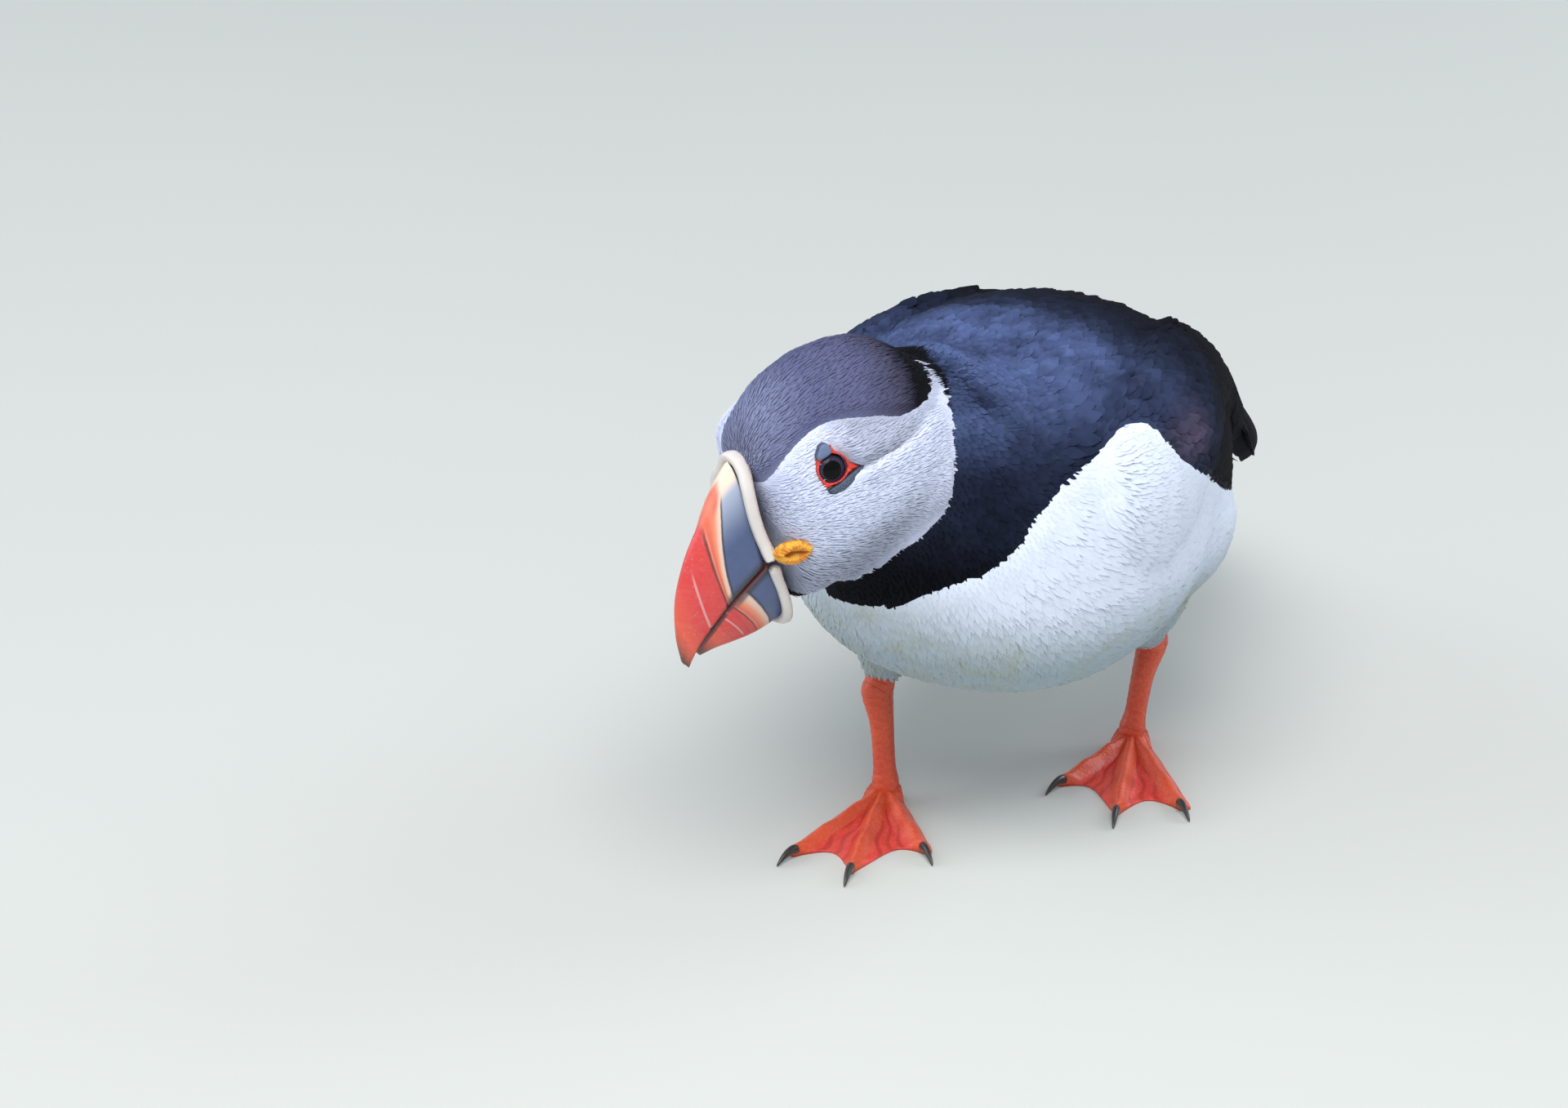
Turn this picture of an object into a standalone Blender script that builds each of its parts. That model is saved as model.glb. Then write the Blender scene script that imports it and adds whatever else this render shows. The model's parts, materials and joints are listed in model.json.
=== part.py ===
"""Atlantic puffin, life size, walking with its head lowered and turned to its right.

Lengths are in millimetres until a mesh is made, which is in metres. The bird faces -Y,
its left side is +X and +Z is up. The feet stand on z = 0.
"""
import bmesh
import bpy
import numpy as np
from math import cos, exp, pi, radians, sin
from mathutils import Matrix, Vector

NAME = "Atlantic_puffin"
MM = 0.001
GAP = 0.35                      # clear space between touching pieces
SIDES = 40                      # points round a body section

# head: its origin is midway between the eyes
HEAD_AT = (-24.0, -72.0, 107.5)
HEAD_YAW = -31.3                # turned to the bird's right
HEAD_PITCH = 25.1               # bill pointing down
HEAD_ROLL = -2.8
# trunk
TRUNK_AT = (0.0, 3.0, 74.5)
TRUNK_POWER = 2.3               # a little squarer than an ellipse
TRUNK_PEAR = -0.04              # a little wider below
TRUNK_PITCH = -8.0              # breast higher than rump
FLANK_SIDE = 23.0               # middle of each swelling flank from the trunk's middle
FLANK_UP = -12.0
BODY_VOXEL = 2.4
BODY_TRIANGLES = 2100
BODY_SMOOTHING = 6              # passes
# thin cuts across the body, (forward, up) on the cut and the way it faces
NAPE_CUT = ((-37.5, 0.0), (0.673, 0.74))        # in the head's frame
BREAST_CUT = ((50.0, 0.0), (0.86, 0.5))         # in the trunk's frame
# eyes
EYE_SIDE = 17.4                 # front of the eyeball from the middle of the head
EYE_RADIUS = 5.2
EYE_TILT = 10.0                 # the eye looks a little up and forward
EYE_FORWARD = 8.0
LID_RADIUS = 3.35
LID_THICKNESS = 0.45
LID_DEPTH = 4.95                # of the ring in front of the ball's centre
LID_TURNS = 18
LID_SIDES = 6
SEAT_RADIUS = 4.2               # flat seat round the eye
SEAT_FLOOR = 4.15
SEAT_DEPTH = 5.0
PLATE_DEPTH = 5.1
PLATE_THICKNESS = 0.9
PLATE_GAP = 0.5
# legs: the back end of each foot, the heel joint above it and the knee in the plumage
FOOT_LENGTH = 38.5              # middle toe without its claw
FEET = {"left": (20.5, 27.0), "right": (-21.0, -25.0)}
FOOT_TURN = {"left": 16.0, "right": 12.0}
HEELS = {"left": (22.5, 32.0, 27.0), "right": (-24.5, -21.0, 28.5)}
KNEES = {"left": (23.0, 16.0, 50.0), "right": (-23.0, -14.0, 50.0)}
FOOT_HEIGHT = 4.6               # toes and pad at the back of the foot
TOE_THINNING = 1.9              # loss of height along a toe
TOE_RADIUS = 2.0
PAD_RADIUS = 6.0
WEB_HEIGHT = 1.3
WEB_NOTCH = 0.2                 # depth of the web's curved edge, share of the toe
WEB_MARGIN = 4.0                # degrees past the inner and outer toes
FOOT_BACK = 3.6                 # radius of the foot's rounded back end
FOOT_ACROSS = 19
FOOT_ALONG = 6
# (turn in degrees, length in share of the middle toe)
TOES = {"inner": (-30.0, 0.74), "middle": (0.0, 1.0), "outer": (24.0, 0.93)}
CLAW_LENGTH = 6.0
CLAW_START = 0.4
CLAW_HEIGHT = 1.7               # of its middle line over the ground at the toe
CLAW_ARCH = 0.4
CLAW_DROOP = 1.3
CLAW_SHAPE = ((0.0, 1.25), (0.35, 1.1), (0.7, 0.75), (1.0, 0.3))    # (share, radius)
# share of the way from knee to heel, half width, half depth
THIGH_SHAPE = ((0.0, 17.0, 19.0), (0.35, 13.0, 15.0), (0.7, 7.5, 8.5))
THIGH_END = (0.6, 4.4, 4.8)     # distance above the heel, half width, half depth
HEEL_SHAPE = ((0.25, 3.6, 4.0), (2.4, 3.7, 4.1))    # distance under the thigh, half sizes
# share of the way from heel to foot, half width, half depth
TARSUS_SHAPE = ((0.4, 2.8, 3.3), (0.8, 2.6, 3.1), (1.0, 3.3, 3.5))

FINISHES = {
    "black_plumage": ((0.012, 0.014, 0.024), 0.6),
    "white_plumage": ((0.78, 0.80, 0.86), 0.8),
    "grey_plumage": ((0.55, 0.56, 0.64), 0.8),
    "bill_red": ((0.62, 0.05, 0.03), 0.35),
    "bill_horn": ((0.72, 0.55, 0.38), 0.45),
    "gape_yellow": ((0.85, 0.42, 0.03), 0.5),
    "eye_dark": ((0.01, 0.01, 0.015), 0.08),
    "lid_red": ((0.65, 0.06, 0.02), 0.4),
    "plate_grey": ((0.15, 0.2, 0.28), 0.5),
    "leg_orange": ((0.72, 0.11, 0.03), 0.45),
    "claw_black": ((0.015, 0.014, 0.014), 0.35),
}


def collection(name):
    group = bpy.data.collections.new(name)
    bpy.context.scene.collection.children.link(group)
    return group


def finish(name):
    material = bpy.data.materials.get(name)
    if material is None:
        colour, roughness = FINISHES[name]
        material = bpy.data.materials.new(name)
        material.use_nodes = True
        shader = material.node_tree.nodes["Principled BSDF"]
        shader.inputs["Base Color"].default_value = (*colour, 1.0)
        shader.inputs["Roughness"].default_value = roughness
        shader.inputs["Metallic"].default_value = 0.0
    return material


# ---- frames -------------------------------------------------------------------------

def frame(at, yaw=0.0, pitch=0.0, roll=0.0):
    """Matrix from (forward, left, up) to the world; pitch lowers the front."""
    facing = Matrix(((0, 1, 0), (-1, 0, 0), (0, 0, 1)))
    turn = Matrix.Rotation(radians(yaw), 3, "Z")
    nod = Matrix.Rotation(radians(pitch), 3, "Y")
    lean = Matrix.Rotation(radians(-roll), 3, "X")
    return Matrix.Translation(at) @ (turn @ facing @ nod @ lean).to_4x4()


HEAD = frame(HEAD_AT, HEAD_YAW, HEAD_PITCH, HEAD_ROLL)
TRUNK = frame(TRUNK_AT, 0.0, TRUNK_PITCH)


def place(matrix, points):
    array = np.array(matrix)
    return points @ array[:3, :3].T + array[:3, 3]


# ---- lofts --------------------------------------------------------------------------

def section(top, bottom, width, pear=0.0, power=2.0, sides=SIDES):
    """Closed ring from its top and bottom points (forward, up) and its half width."""
    angle = np.linspace(0.0, 2.0 * pi, sides, endpoint=False)
    high, low = np.array(top, float), np.array(bottom, float)
    middle, half = (high + low) / 2.0, (high - low) / 2.0
    rise = np.sign(np.cos(angle)) * np.abs(np.cos(angle)) ** (2.0 / power)
    side = np.sign(np.sin(angle)) * np.abs(np.sin(angle)) ** (2.0 / power)
    ring = np.empty((sides, 3))
    ring[:, 0] = middle[0] + half[0] * rise
    ring[:, 1] = width * side * (1.0 + pear * rise)
    ring[:, 2] = middle[1] + half[1] * rise
    return ring


def smooth_rings(rings, steps):
    """Rings between the given ones, on a Catmull-Rom curve through each point."""
    rings = np.array(rings)
    padded = np.concatenate([[2 * rings[0] - rings[1]], rings, [2 * rings[-1] - rings[-2]]])
    result = []
    for index in range(1, len(padded) - 2):
        before, start, end, after = padded[index - 1:index + 3]
        for step in range(steps):
            t = step / steps
            result.append(0.5 * (2 * start + (end - before) * t
                                 + (2 * before - 5 * start + 4 * end - after) * t ** 2
                                 + (3 * start - before - 3 * end + after) * t ** 3))
    result.append(rings[-1])
    return np.array(result)


def loft(rings):
    """Closed mesh over a list of rings, with a fan over each end."""
    mesh = bmesh.new()
    rows = [[mesh.verts.new(Vector(point) * MM) for point in ring] for ring in rings]
    count = len(rows[0])
    for one, two in zip(rows, rows[1:]):
        for index in range(count):
            after = (index + 1) % count
            mesh.faces.new((one[index], one[after], two[after], two[index]))
    for row in (rows[0], rows[-1]):
        centre = sum((vertex.co for vertex in row), Vector()) / count
        tip = mesh.verts.new(centre)
        for index in range(count):
            mesh.faces.new((row[index], row[(index + 1) % count], tip))
    return mesh


def add(mesh, name, material, group):
    """Object made from a bmesh."""
    bmesh.ops.recalc_face_normals(mesh, faces=mesh.faces)
    bmesh.ops.triangulate(mesh, faces=mesh.faces)
    data = bpy.data.meshes.new(name)
    mesh.to_mesh(data)
    mesh.free()
    data.shade_smooth()
    data.materials.append(finish(material))
    thing = bpy.data.objects.new(name, data)
    group.objects.link(thing)
    return thing


def as_cutter(thing):
    thing.hide_render = True
    thing.display_type = "WIRE"
    return thing


def cut(thing, cutter, operation="DIFFERENCE"):
    modifier = thing.modifiers.new(cutter.name, "BOOLEAN")
    modifier.object = cutter
    modifier.operation = operation
    modifier.solver = "EXACT"


def settle(thing):
    """Replace a mesh by its evaluated one and drop the modifiers."""
    bpy.context.view_layer.update()
    graph = bpy.context.evaluated_depsgraph_get()
    data = bpy.data.meshes.new_from_object(thing.evaluated_get(graph))
    thing.modifiers.clear()
    thing.data = data
    return thing


def half_space(name, point, normal, group, size=400.0):
    """Box whose one face lies at the point and that fills the side the normal points to."""
    mesh = bmesh.new()
    bmesh.ops.create_cube(mesh, size=size * MM)
    turn = Vector((0, 0, 1)).rotation_difference(Vector(normal)).to_matrix().to_4x4()
    centre = Vector(point) + Vector(normal).normalized() * size / 2.0
    bmesh.ops.transform(mesh, matrix=Matrix.Translation(centre * MM) @ turn, verts=mesh.verts)
    return as_cutter(add(mesh, name, "black_plumage", group))


# ---- head, neck and trunk -----------------------------------------------------------

HEAD_SHAPE = (
    # (forward, up) of the crown and of the chin, half width
    ((12.4, 6.0), (17.8, -32.5), 9.2), ((10.9, 10.3), (14.8, -33.2), 13.0),
    ((7.5, 14.1), (10.0, -33.2), 16.2), ((0.3, 17.3), (3.0, -32.6), 19.2),
    ((-8.0, 18.0), (-5.0, -31.8), 20.8), ((-16.0, 16.6), (-13.0, -30.5), 22.4),
    ((-24.0, 13.1), (-21.0, -28.0), 22.4), ((-31.2, 7.2), (-28.0, -23.0), 18.5),
    ((-36.0, -3.0), (-34.0, -14.0), 8.0),
)
HEAD_PEAR = -0.12               # the cheeks are wider than the crown


def head_rings():
    """Sections of the head from the bill to the nape."""
    rings = [section(top, bottom, width, HEAD_PEAR) for top, bottom, width in HEAD_SHAPE]
    return place(HEAD, smooth_rings(rings, 3).reshape(-1, 3)).reshape(-1, SIDES, 3)


TRUNK_SHAPE = (
    # forward, half width, top, bottom
    (-87.0, 9.0, -1.0, -10.0), (-77.0, 18.5, 7.5, -17.0), (-62.0, 29.0, 20.0, -27.0),
    (-44.0, 37.0, 33.6, -36.0), (-22.0, 42.6, 41.6, -42.0), (2.0, 46.6, 43.8, -44.0),
    (26.0, 46.0, 42.4, -43.0), (44.0, 40.5, 35.0, -38.0), (57.0, 31.0, 23.0, -29.0),
    (66.0, 18.0, 10.0, -17.0), (70.0, 7.0, 2.0, -8.0),
)


def trunk_rings():
    rings = [section((forward, top), (forward, bottom), width, TRUNK_PEAR, TRUNK_POWER)
             for forward, width, top, bottom in TRUNK_SHAPE]
    return place(TRUNK, smooth_rings(rings, 3).reshape(-1, 3)).reshape(-1, SIDES, 3)


NECK_SHAPE = (
    # frame of the point, the point and the neck's radius there
    (TRUNK, (24.0, 0.0, 2.0), 37.0), (TRUNK, (44.0, -2.0, 8.0), 32.0),
    (HEAD, (-24.0, 0.0, -10.0), 19.5), (HEAD, (-10.0, 0.0, -8.0), 15.0),
)


def neck_rings():
    """Short thick neck from inside the trunk to inside the head."""
    knots = [(local @ Vector(point), radius) for local, point, radius in NECK_SHAPE]
    rings = []
    for index, (centre, radius) in enumerate(knots):
        before, after = knots[max(index - 1, 0)][0], knots[min(index + 1, 3)][0]
        along = (after - before).normalized()
        side = Vector((0, 0, 1)).cross(along).normalized()
        rise = along.cross(side)
        angle = np.linspace(0.0, 2.0 * pi, SIDES, endpoint=False)
        rings.append([centre + (side * sin(a) + rise * cos(a)) * radius for a in angle])
    return smooth_rings(rings, 5)


FLANK_SHAPE = (
    # forward, radius
    (26.0, 3.0), (18.0, 11.0), (4.0, 17.0), (-14.0, 20.5), (-32.0, 20.0),
    (-47.0, 15.0), (-56.0, 8.0), (-59.0, 3.0),
)


def flank_rings(side):
    """Swelling of the flank feathers over the rear edge of the folded wing."""
    rings = []
    for forward, radius in FLANK_SHAPE:
        ring = section((forward, FLANK_UP + radius), (forward, FLANK_UP - radius), radius)
        ring[:, 1] += side * FLANK_SIDE
        rings.append(ring)
    return place(TRUNK, smooth_rings(rings, 2).reshape(-1, 3)).reshape(-1, SIDES, 3)


def whole_body(tools):
    """Head, neck, trunk and flanks melted into one smooth closed body."""
    whole = bmesh.new()
    lofts = [head_rings(), neck_rings(), trunk_rings(), flank_rings(1), flank_rings(-1)]
    for index, rings in enumerate(lofts):
        piece = add(loft(rings), "body_%d" % index, "black_plumage", tools)
        whole.from_mesh(piece.data)
        bpy.data.objects.remove(piece)
    body = add(whole, "body", "black_plumage", tools)
    remesh = body.modifiers.new("voxels", "REMESH")
    remesh.mode = "VOXEL"
    remesh.voxel_size = BODY_VOXEL * MM
    soften = body.modifiers.new("soften", "SMOOTH")
    soften.factor = 0.5
    soften.iterations = BODY_SMOOTHING
    settle(body)
    thin = body.modifiers.new("thin", "DECIMATE")
    thin.ratio = BODY_TRIANGLES / (2.0 * len(body.data.polygons))
    return settle(as_cutter(body))


def cut_plane(local, values):
    """Point and direction, in the world, of a thin cut across the body."""
    (ahead, up), (facing, rising) = values
    direction = local.to_3x3() @ Vector((facing, 0.0, rising))
    return local @ Vector((ahead, 0.0, up)), direction.normalized()


def body_pieces(body, parts, tools):
    """The body parted by thin cuts into head, neck and trunk."""
    nape, face = cut_plane(HEAD, NAPE_CUT)
    root, ahead = cut_plane(TRUNK, BREAST_CUT)
    half = GAP / 2.0
    regions = {
        "head": ("grey_plumage", [(nape + face * half, face)]),
        "neck": ("black_plumage", [(nape - face * half, -face), (root + ahead * half, ahead)]),
        "trunk": ("white_plumage", [(root - ahead * half, -ahead), (nape - face * half, -face)]),
    }
    pieces = {}
    for name, (look, planes) in regions.items():
        data = body.data.copy()
        data.name = name
        data.materials.clear()
        data.materials.append(finish(look))
        piece = bpy.data.objects.new(name, data)
        parts.objects.link(piece)
        for index, (point, normal) in enumerate(planes):
            region = half_space("%s_side_%d" % (name, index), point, normal, tools)
            cut(piece, region, "INTERSECT")
        pieces[name] = piece
    return pieces


def swollen(thing, name, tools, by=GAP):
    """Cutter a little larger than a piece, which keeps the gap to its neighbours."""
    copy = bpy.data.objects.new(name, thing.data.copy())
    tools.objects.link(copy)
    push = copy.modifiers.new("swell", "DISPLACE")
    push.strength = by * MM
    push.mid_level = 0.0
    return settle(as_cutter(copy))


# ---- wings and tail -----------------------------------------------------------------

WING_SHAPE = (
    # forward, half width and height of the body under it, upper and lower edge (degrees
    # from the back's middle), thickness, drop of the rear end
    (43.0, 41.5, 35.8, 66.0, 80.0, 1.0, 0.0), (39.0, 43.0, 38.0, 52.0, 90.0, 2.6, 0.0),
    (26.0, 46.4, 43.0, 40.0, 94.0, 3.6, 0.0), (2.0, 47.2, 44.4, 34.0, 84.0, 3.6, 0.0),
    (-22.0, 43.2, 42.2, 29.0, 68.0, 3.2, 0.0), (-44.0, 37.6, 34.2, 26.0, 68.0, 3.0, 0.4),
    (-62.0, 32.6, 20.6, 24.0, 84.0, 2.8, 2.0), (-78.0, 28.8, 12.8, 20.0, 98.0, 2.6, 5.4),
    (-92.0, 24.0, 11.0, 26.0, 100.0, 2.0, 9.0), (-104.0, 18.0, 9.0, 48.0, 92.0, 1.2, 12.6),
)
WING_POINTS = 9                # across the wing


def wing_rings(side):
    """Folded wing: a thin shell that follows the side of the body from shoulder to tip."""
    rings = []
    for forward, width, height, upper, lower, thickness, drop in WING_SHAPE:
        angle = np.radians(np.linspace(upper, lower, WING_POINTS))
        bulge = np.sin(np.linspace(0.12, 0.94, WING_POINTS) * pi)
        faces = []
        for reach in (thickness * bulge, np.zeros(WING_POINTS)):
            across = side * (width + GAP + reach) * np.sin(angle) ** (2 / TRUNK_POWER)
            rise = np.sign(np.cos(angle)) * np.abs(np.cos(angle)) ** (2 / TRUNK_POWER)
            rise = rise * (height + GAP + reach) - drop
            faces.append(np.stack([np.full(WING_POINTS, forward), across, rise], 1))
        rings.append(np.concatenate([faces[0], faces[1][::-1]]))
    count = 2 * WING_POINTS
    return place(TRUNK, smooth_rings(rings, 2).reshape(-1, 3)).reshape(-1, count, 3)


TAIL_ARCH = 2.0
TAIL_SIDES = 16
TAIL_SHAPE = (
    # forward, half width, thickness, up
    (-70.0, 12.0, 6.0, -4.0), (-84.0, 16.5, 4.5, -7.5), (-98.0, 18.0, 3.2, -12.0),
    (-111.0, 18.0, 2.4, -16.5), (-120.0, 14.0, 1.8, -19.8), (-124.0, 6.5, 1.2, -21.4),
)


def tail_rings():
    rings = []
    for forward, width, thickness, up in TAIL_SHAPE:
        ring = section((forward, up + thickness / 2), (forward, up - thickness / 2), width,
                       sides=TAIL_SIDES)
        ring[:, 2] -= TAIL_ARCH * (ring[:, 1] / width) ** 2
        rings.append(ring)
    return place(TRUNK, smooth_rings(rings, 2).reshape(-1, 3)).reshape(-1, TAIL_SIDES, 3)


def wings_and_tail(parts, body_cutter):
    for name, side in (("wing_left", 1), ("wing_right", -1)):
        wing = add(loft(wing_rings(side)), name, "black_plumage", parts)
        cut(wing, body_cutter)
    tail = add(loft(tail_rings()), "tail", "black_plumage", parts)
    cut(tail, body_cutter)


# ---- bill ---------------------------------------------------------------------------

UPPER_BILL = (
    # (forward, up) of the culmen and of the cutting edge, half width
    ((15.6, 6.4), (21.2, -15.3), 6.8), ((20.0, 3.3), (24.2, -16.4), 6.4),
    ((26.0, -1.1), (28.6, -18.5), 5.8), ((32.6, -5.8), (33.3, -20.9), 4.9),
    ((38.0, -11.4), (37.4, -22.9), 3.9), ((41.8, -17.3), (40.5, -24.9), 3.0),
    ((44.0, -23.3), (42.7, -27.2), 2.0), ((45.0, -27.6), (44.2, -29.2), 1.1),
    ((45.2, -29.8), (44.9, -30.3), 0.4),
)
LOWER_BILL = (
    ((20.9, -18.3), (21.6, -33.4), 6.3), ((26.0, -20.5), (26.2, -33.0), 5.7),
    ((32.0, -23.3), (32.0, -31.2), 4.4), ((37.0, -25.9), (37.0, -29.6), 2.7),
    ((40.4, -27.7), (40.5, -28.7), 0.8),
)
UPPER_RIDGE = (
    ((12.9, 6.8), (18.4, -15.5), 8.4), ((14.0, 7.7), (19.6, -16.2), 9.2),
    ((15.2, 6.9), (20.8, -15.7), 7.5),
)
LOWER_RIDGE = (
    ((17.2, -18.0), (18.6, -33.6), 7.2), ((18.6, -17.8), (19.8, -34.2), 7.5),
    ((20.4, -18.1), (21.2, -33.8), 6.7),
)
ROSETTE_AT = (14.5, 12.4, -14.0)
ROSETTE_SIZE = (4.3, 1.9, 3.2)


def bill_piece(shape, name, material, parts, pear=-0.3, sides=16):
    rings = [section(top, bottom, width, pear, 1.8, sides) for top, bottom, width in shape]
    smooth = smooth_rings(rings, 2)
    points = place(HEAD, smooth.reshape(-1, 3)).reshape(-1, sides, 3)
    return add(loft(points), name, material, parts)


def ball(name, centre, size, material, group, sides=16):
    """Ellipsoid in the head's frame."""
    mesh = bmesh.new()
    bmesh.ops.create_uvsphere(mesh, u_segments=sides, v_segments=sides // 2, radius=1.0)
    stretch = Matrix.Diagonal((*[length * MM for length in size], 1.0))
    turn = HEAD.to_3x3().to_4x4()
    where = Matrix.Translation((HEAD @ Vector(centre)) * MM)
    bmesh.ops.transform(mesh, matrix=where @ turn @ stretch, verts=mesh.verts)
    return add(mesh, name, material, group)


def bill(parts, body_cutter):
    bill_piece(UPPER_BILL, "bill_upper", "bill_red", parts)
    bill_piece(LOWER_BILL, "bill_lower", "bill_red", parts, 0.0)
    for shape, name in ((UPPER_RIDGE, "bill_ridge_upper"), (LOWER_RIDGE, "bill_ridge_lower")):
        ridge = bill_piece(shape, name, "bill_horn", parts, -0.1)
        cut(ridge, body_cutter)
    ahead, aside, up = ROSETTE_AT
    for name, side in (("gape_left", 1), ("gape_right", -1)):
        centre = (ahead, side * aside, up)
        rosette = ball(name, centre, ROSETTE_SIZE, "gape_yellow", parts, 12)
        cut(rosette, body_cutter)


# ---- eyes ---------------------------------------------------------------------------

UPPER_PLATE = ((1.7, 4.2), (0.9, 5.8), (-0.6, 7.3), (-1.4, 5.8), (-2.1, 4.2), (-0.2, 4.3))
LOWER_PLATE = ((3.4, -3.7), (1.2, -4.6), (-1.6, -4.7), (-4.4, -4.0), (-6.8, -4.0),
               (-4.2, -5.4), (-1.4, -6.1), (1.4, -5.9), (3.6, -4.8))


def eye_frame(side):
    """Matrix of an eye: forward, up and outward axes, with its origin at the ball."""
    tilt, ahead = radians(EYE_TILT), radians(EYE_FORWARD)
    outward = Vector((sin(ahead), side * cos(ahead) * cos(tilt), sin(tilt)))
    front = Vector((0.0, side * EYE_SIDE, 0.0))
    up = (Vector((0, 0, 1)) - outward * outward.z).normalized()
    forward = Vector((1, 0, 0))
    forward = (forward - outward * outward.dot(forward) - up * up.dot(forward)).normalized()
    turn = HEAD.to_3x3() @ Matrix((forward, up, outward)).transposed()
    centre = HEAD @ (front - outward * EYE_RADIUS)
    return Matrix.Translation(centre) @ turn.to_4x4()


def plate(outline, low, high, name, material, local, group):
    """Small flat plate on the face beside the eye."""
    mesh = bmesh.new()
    rows = [[mesh.verts.new((local @ Vector((a, b, level))) * MM) for a, b in outline]
            for level in (low, high)]
    for row in rows:
        mesh.faces.new(row)
    for index in range(len(outline)):
        after = (index + 1) % len(outline)
        mesh.faces.new((rows[0][index], rows[0][after], rows[1][after], rows[1][index]))
    return add(mesh, name, material, group)


def lid(name, local, group):
    """Ring round the eye."""
    mesh = bmesh.new()
    rows = []
    for turn in np.linspace(0.0, 2.0 * pi, LID_TURNS, endpoint=False):
        row = []
        for angle in np.linspace(0.0, 2.0 * pi, LID_SIDES, endpoint=False):
            radius = LID_RADIUS + LID_THICKNESS * cos(angle)
            spot = Vector((radius * cos(turn), radius * sin(turn),
                           LID_DEPTH + LID_THICKNESS * sin(angle)))
            row.append(mesh.verts.new((local @ spot) * MM))
        rows.append(row)
    for one, two in zip(rows, rows[1:] + rows[:1]):
        for index in range(LID_SIDES):
            after = (index + 1) % LID_SIDES
            mesh.faces.new((one[index], one[after], two[after], two[index]))
    return add(mesh, name, "lid_red", group)


def eye_plates(word, local, parts, tools, head):
    """Horny plates over and under the eye, each in a seat a little larger than itself."""
    low, high = PLATE_DEPTH - PLATE_THICKNESS / 2, PLATE_DEPTH + PLATE_THICKNESS / 2
    for outline, kind in ((UPPER_PLATE, "upper"), (LOWER_PLATE, "lower")):
        name = "eye_plate_%s_%s" % (kind, word)
        plate(outline, low, high, name, "plate_grey", local, parts)
        room = plate(outline, low, high + SEAT_DEPTH, name + "_room", "plate_grey", local, tools)
        cut(head, swollen(as_cutter(room), name + "_seat", tools, PLATE_GAP))


def eyes(parts, tools, head):
    for word, side in (("left", 1), ("right", -1)):
        local = eye_frame(side)
        where = Matrix.Translation(local.translation * MM) @ local.to_3x3().to_4x4()
        mesh = bmesh.new()
        bmesh.ops.create_uvsphere(mesh, u_segments=14, v_segments=9, radius=EYE_RADIUS * MM)
        bmesh.ops.transform(mesh, matrix=where, verts=mesh.verts)
        eyeball = add(mesh, "eye_" + word, "eye_dark", parts)
        cut(head, swollen(eyeball, "socket_" + word, tools))
        seat = bmesh.new()
        bmesh.ops.create_cone(seat, cap_ends=True, segments=18, radius1=SEAT_RADIUS * MM,
                              radius2=SEAT_RADIUS * MM, depth=SEAT_DEPTH * MM)
        rise = Matrix.Translation((0, 0, (SEAT_FLOOR + SEAT_DEPTH / 2) * MM))
        bmesh.ops.transform(seat, matrix=where @ rise, verts=seat.verts)
        cut(head, as_cutter(add(seat, "seat_" + word, "eye_dark", tools)))
        lid("lid_" + word, local, parts)
        eye_plates(word, local, parts, tools, head)


# ---- legs and feet ------------------------------------------------------------------

def along(knots, sides):
    """Rings across a leg: knots are (centre, half width sideways, half depth)."""
    rings = []
    for index, (centre, width, depth) in enumerate(knots):
        before, after = knots[max(index - 1, 0)][0], knots[min(index + 1, len(knots) - 1)][0]
        axis = (Vector(after) - Vector(before)).normalized()
        front = Vector((0, -1, 0))
        front = (front - axis * axis.dot(front)).normalized()
        side = axis.cross(front)
        angle = np.linspace(0.0, 2.0 * pi, sides, endpoint=False)
        rings.append([Vector(centre) + front * (depth * cos(a)) + side * (width * sin(a))
                      for a in angle])
    return rings


def foot_edge(turn):
    """Reach of the foot in a direction: toes reach out, the web between them is cut back."""
    spots = sorted(TOES.values())
    for (left, one), (right, two) in zip(spots, spots[1:]):
        if left <= turn <= right:
            share = (turn - left) / (right - left)
            straight = one + (two - one) * share
            return FOOT_LENGTH * (straight - WEB_NOTCH * sin(pi * share) ** 0.8)
    reach = spots[0][1] if turn < spots[0][0] else spots[-1][1]
    return FOOT_LENGTH * reach


def foot_rise(spot):
    """Height of the foot over the ground: web, toes and the pad at the back."""
    rise = WEB_HEIGHT
    for turn, reach in TOES.values():
        heading = Vector((cos(radians(turn)), sin(radians(turn))))
        ahead = spot.dot(heading)
        aside = abs(spot.x * heading.y - spot.y * heading.x)
        height = FOOT_HEIGHT - TOE_THINNING * max(ahead, 0.0) / (FOOT_LENGTH * reach)
        ridge = (height - WEB_HEIGHT) * exp(-(aside / TOE_RADIUS) ** 2)
        rise = max(rise, WEB_HEIGHT + ridge)
    return max(rise, FOOT_HEIGHT * exp(-(spot.length / PAD_RADIUS) ** 4))


def foot_sheets(mesh, at, forward, left):
    """Upper and lower points of the foot, in rows from its back end to its edge."""
    top, sole = [], []
    turns = np.linspace(TOES["inner"][0] - WEB_MARGIN, TOES["outer"][0] + WEB_MARGIN,
                        FOOT_ACROSS)
    for index, turn in enumerate(turns):
        share = 2.0 * index / (FOOT_ACROSS - 1) - 1.0
        back = Vector((-cos(share * pi / 2), sin(share * pi / 2))) * FOOT_BACK
        end = Vector((cos(radians(turn)), sin(radians(turn)))) * foot_edge(turn)
        high, low = [], []
        for step in range(FOOT_ALONG + 1):
            spot = back.lerp(end, step / FOOT_ALONG)
            ground = at + forward * spot.x + left * spot.y
            low.append(mesh.verts.new(ground * MM))
            high.append(mesh.verts.new((ground + Vector((0, 0, foot_rise(spot)))) * MM))
        top.append(high)
        sole.append(low)
    return top, sole


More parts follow.
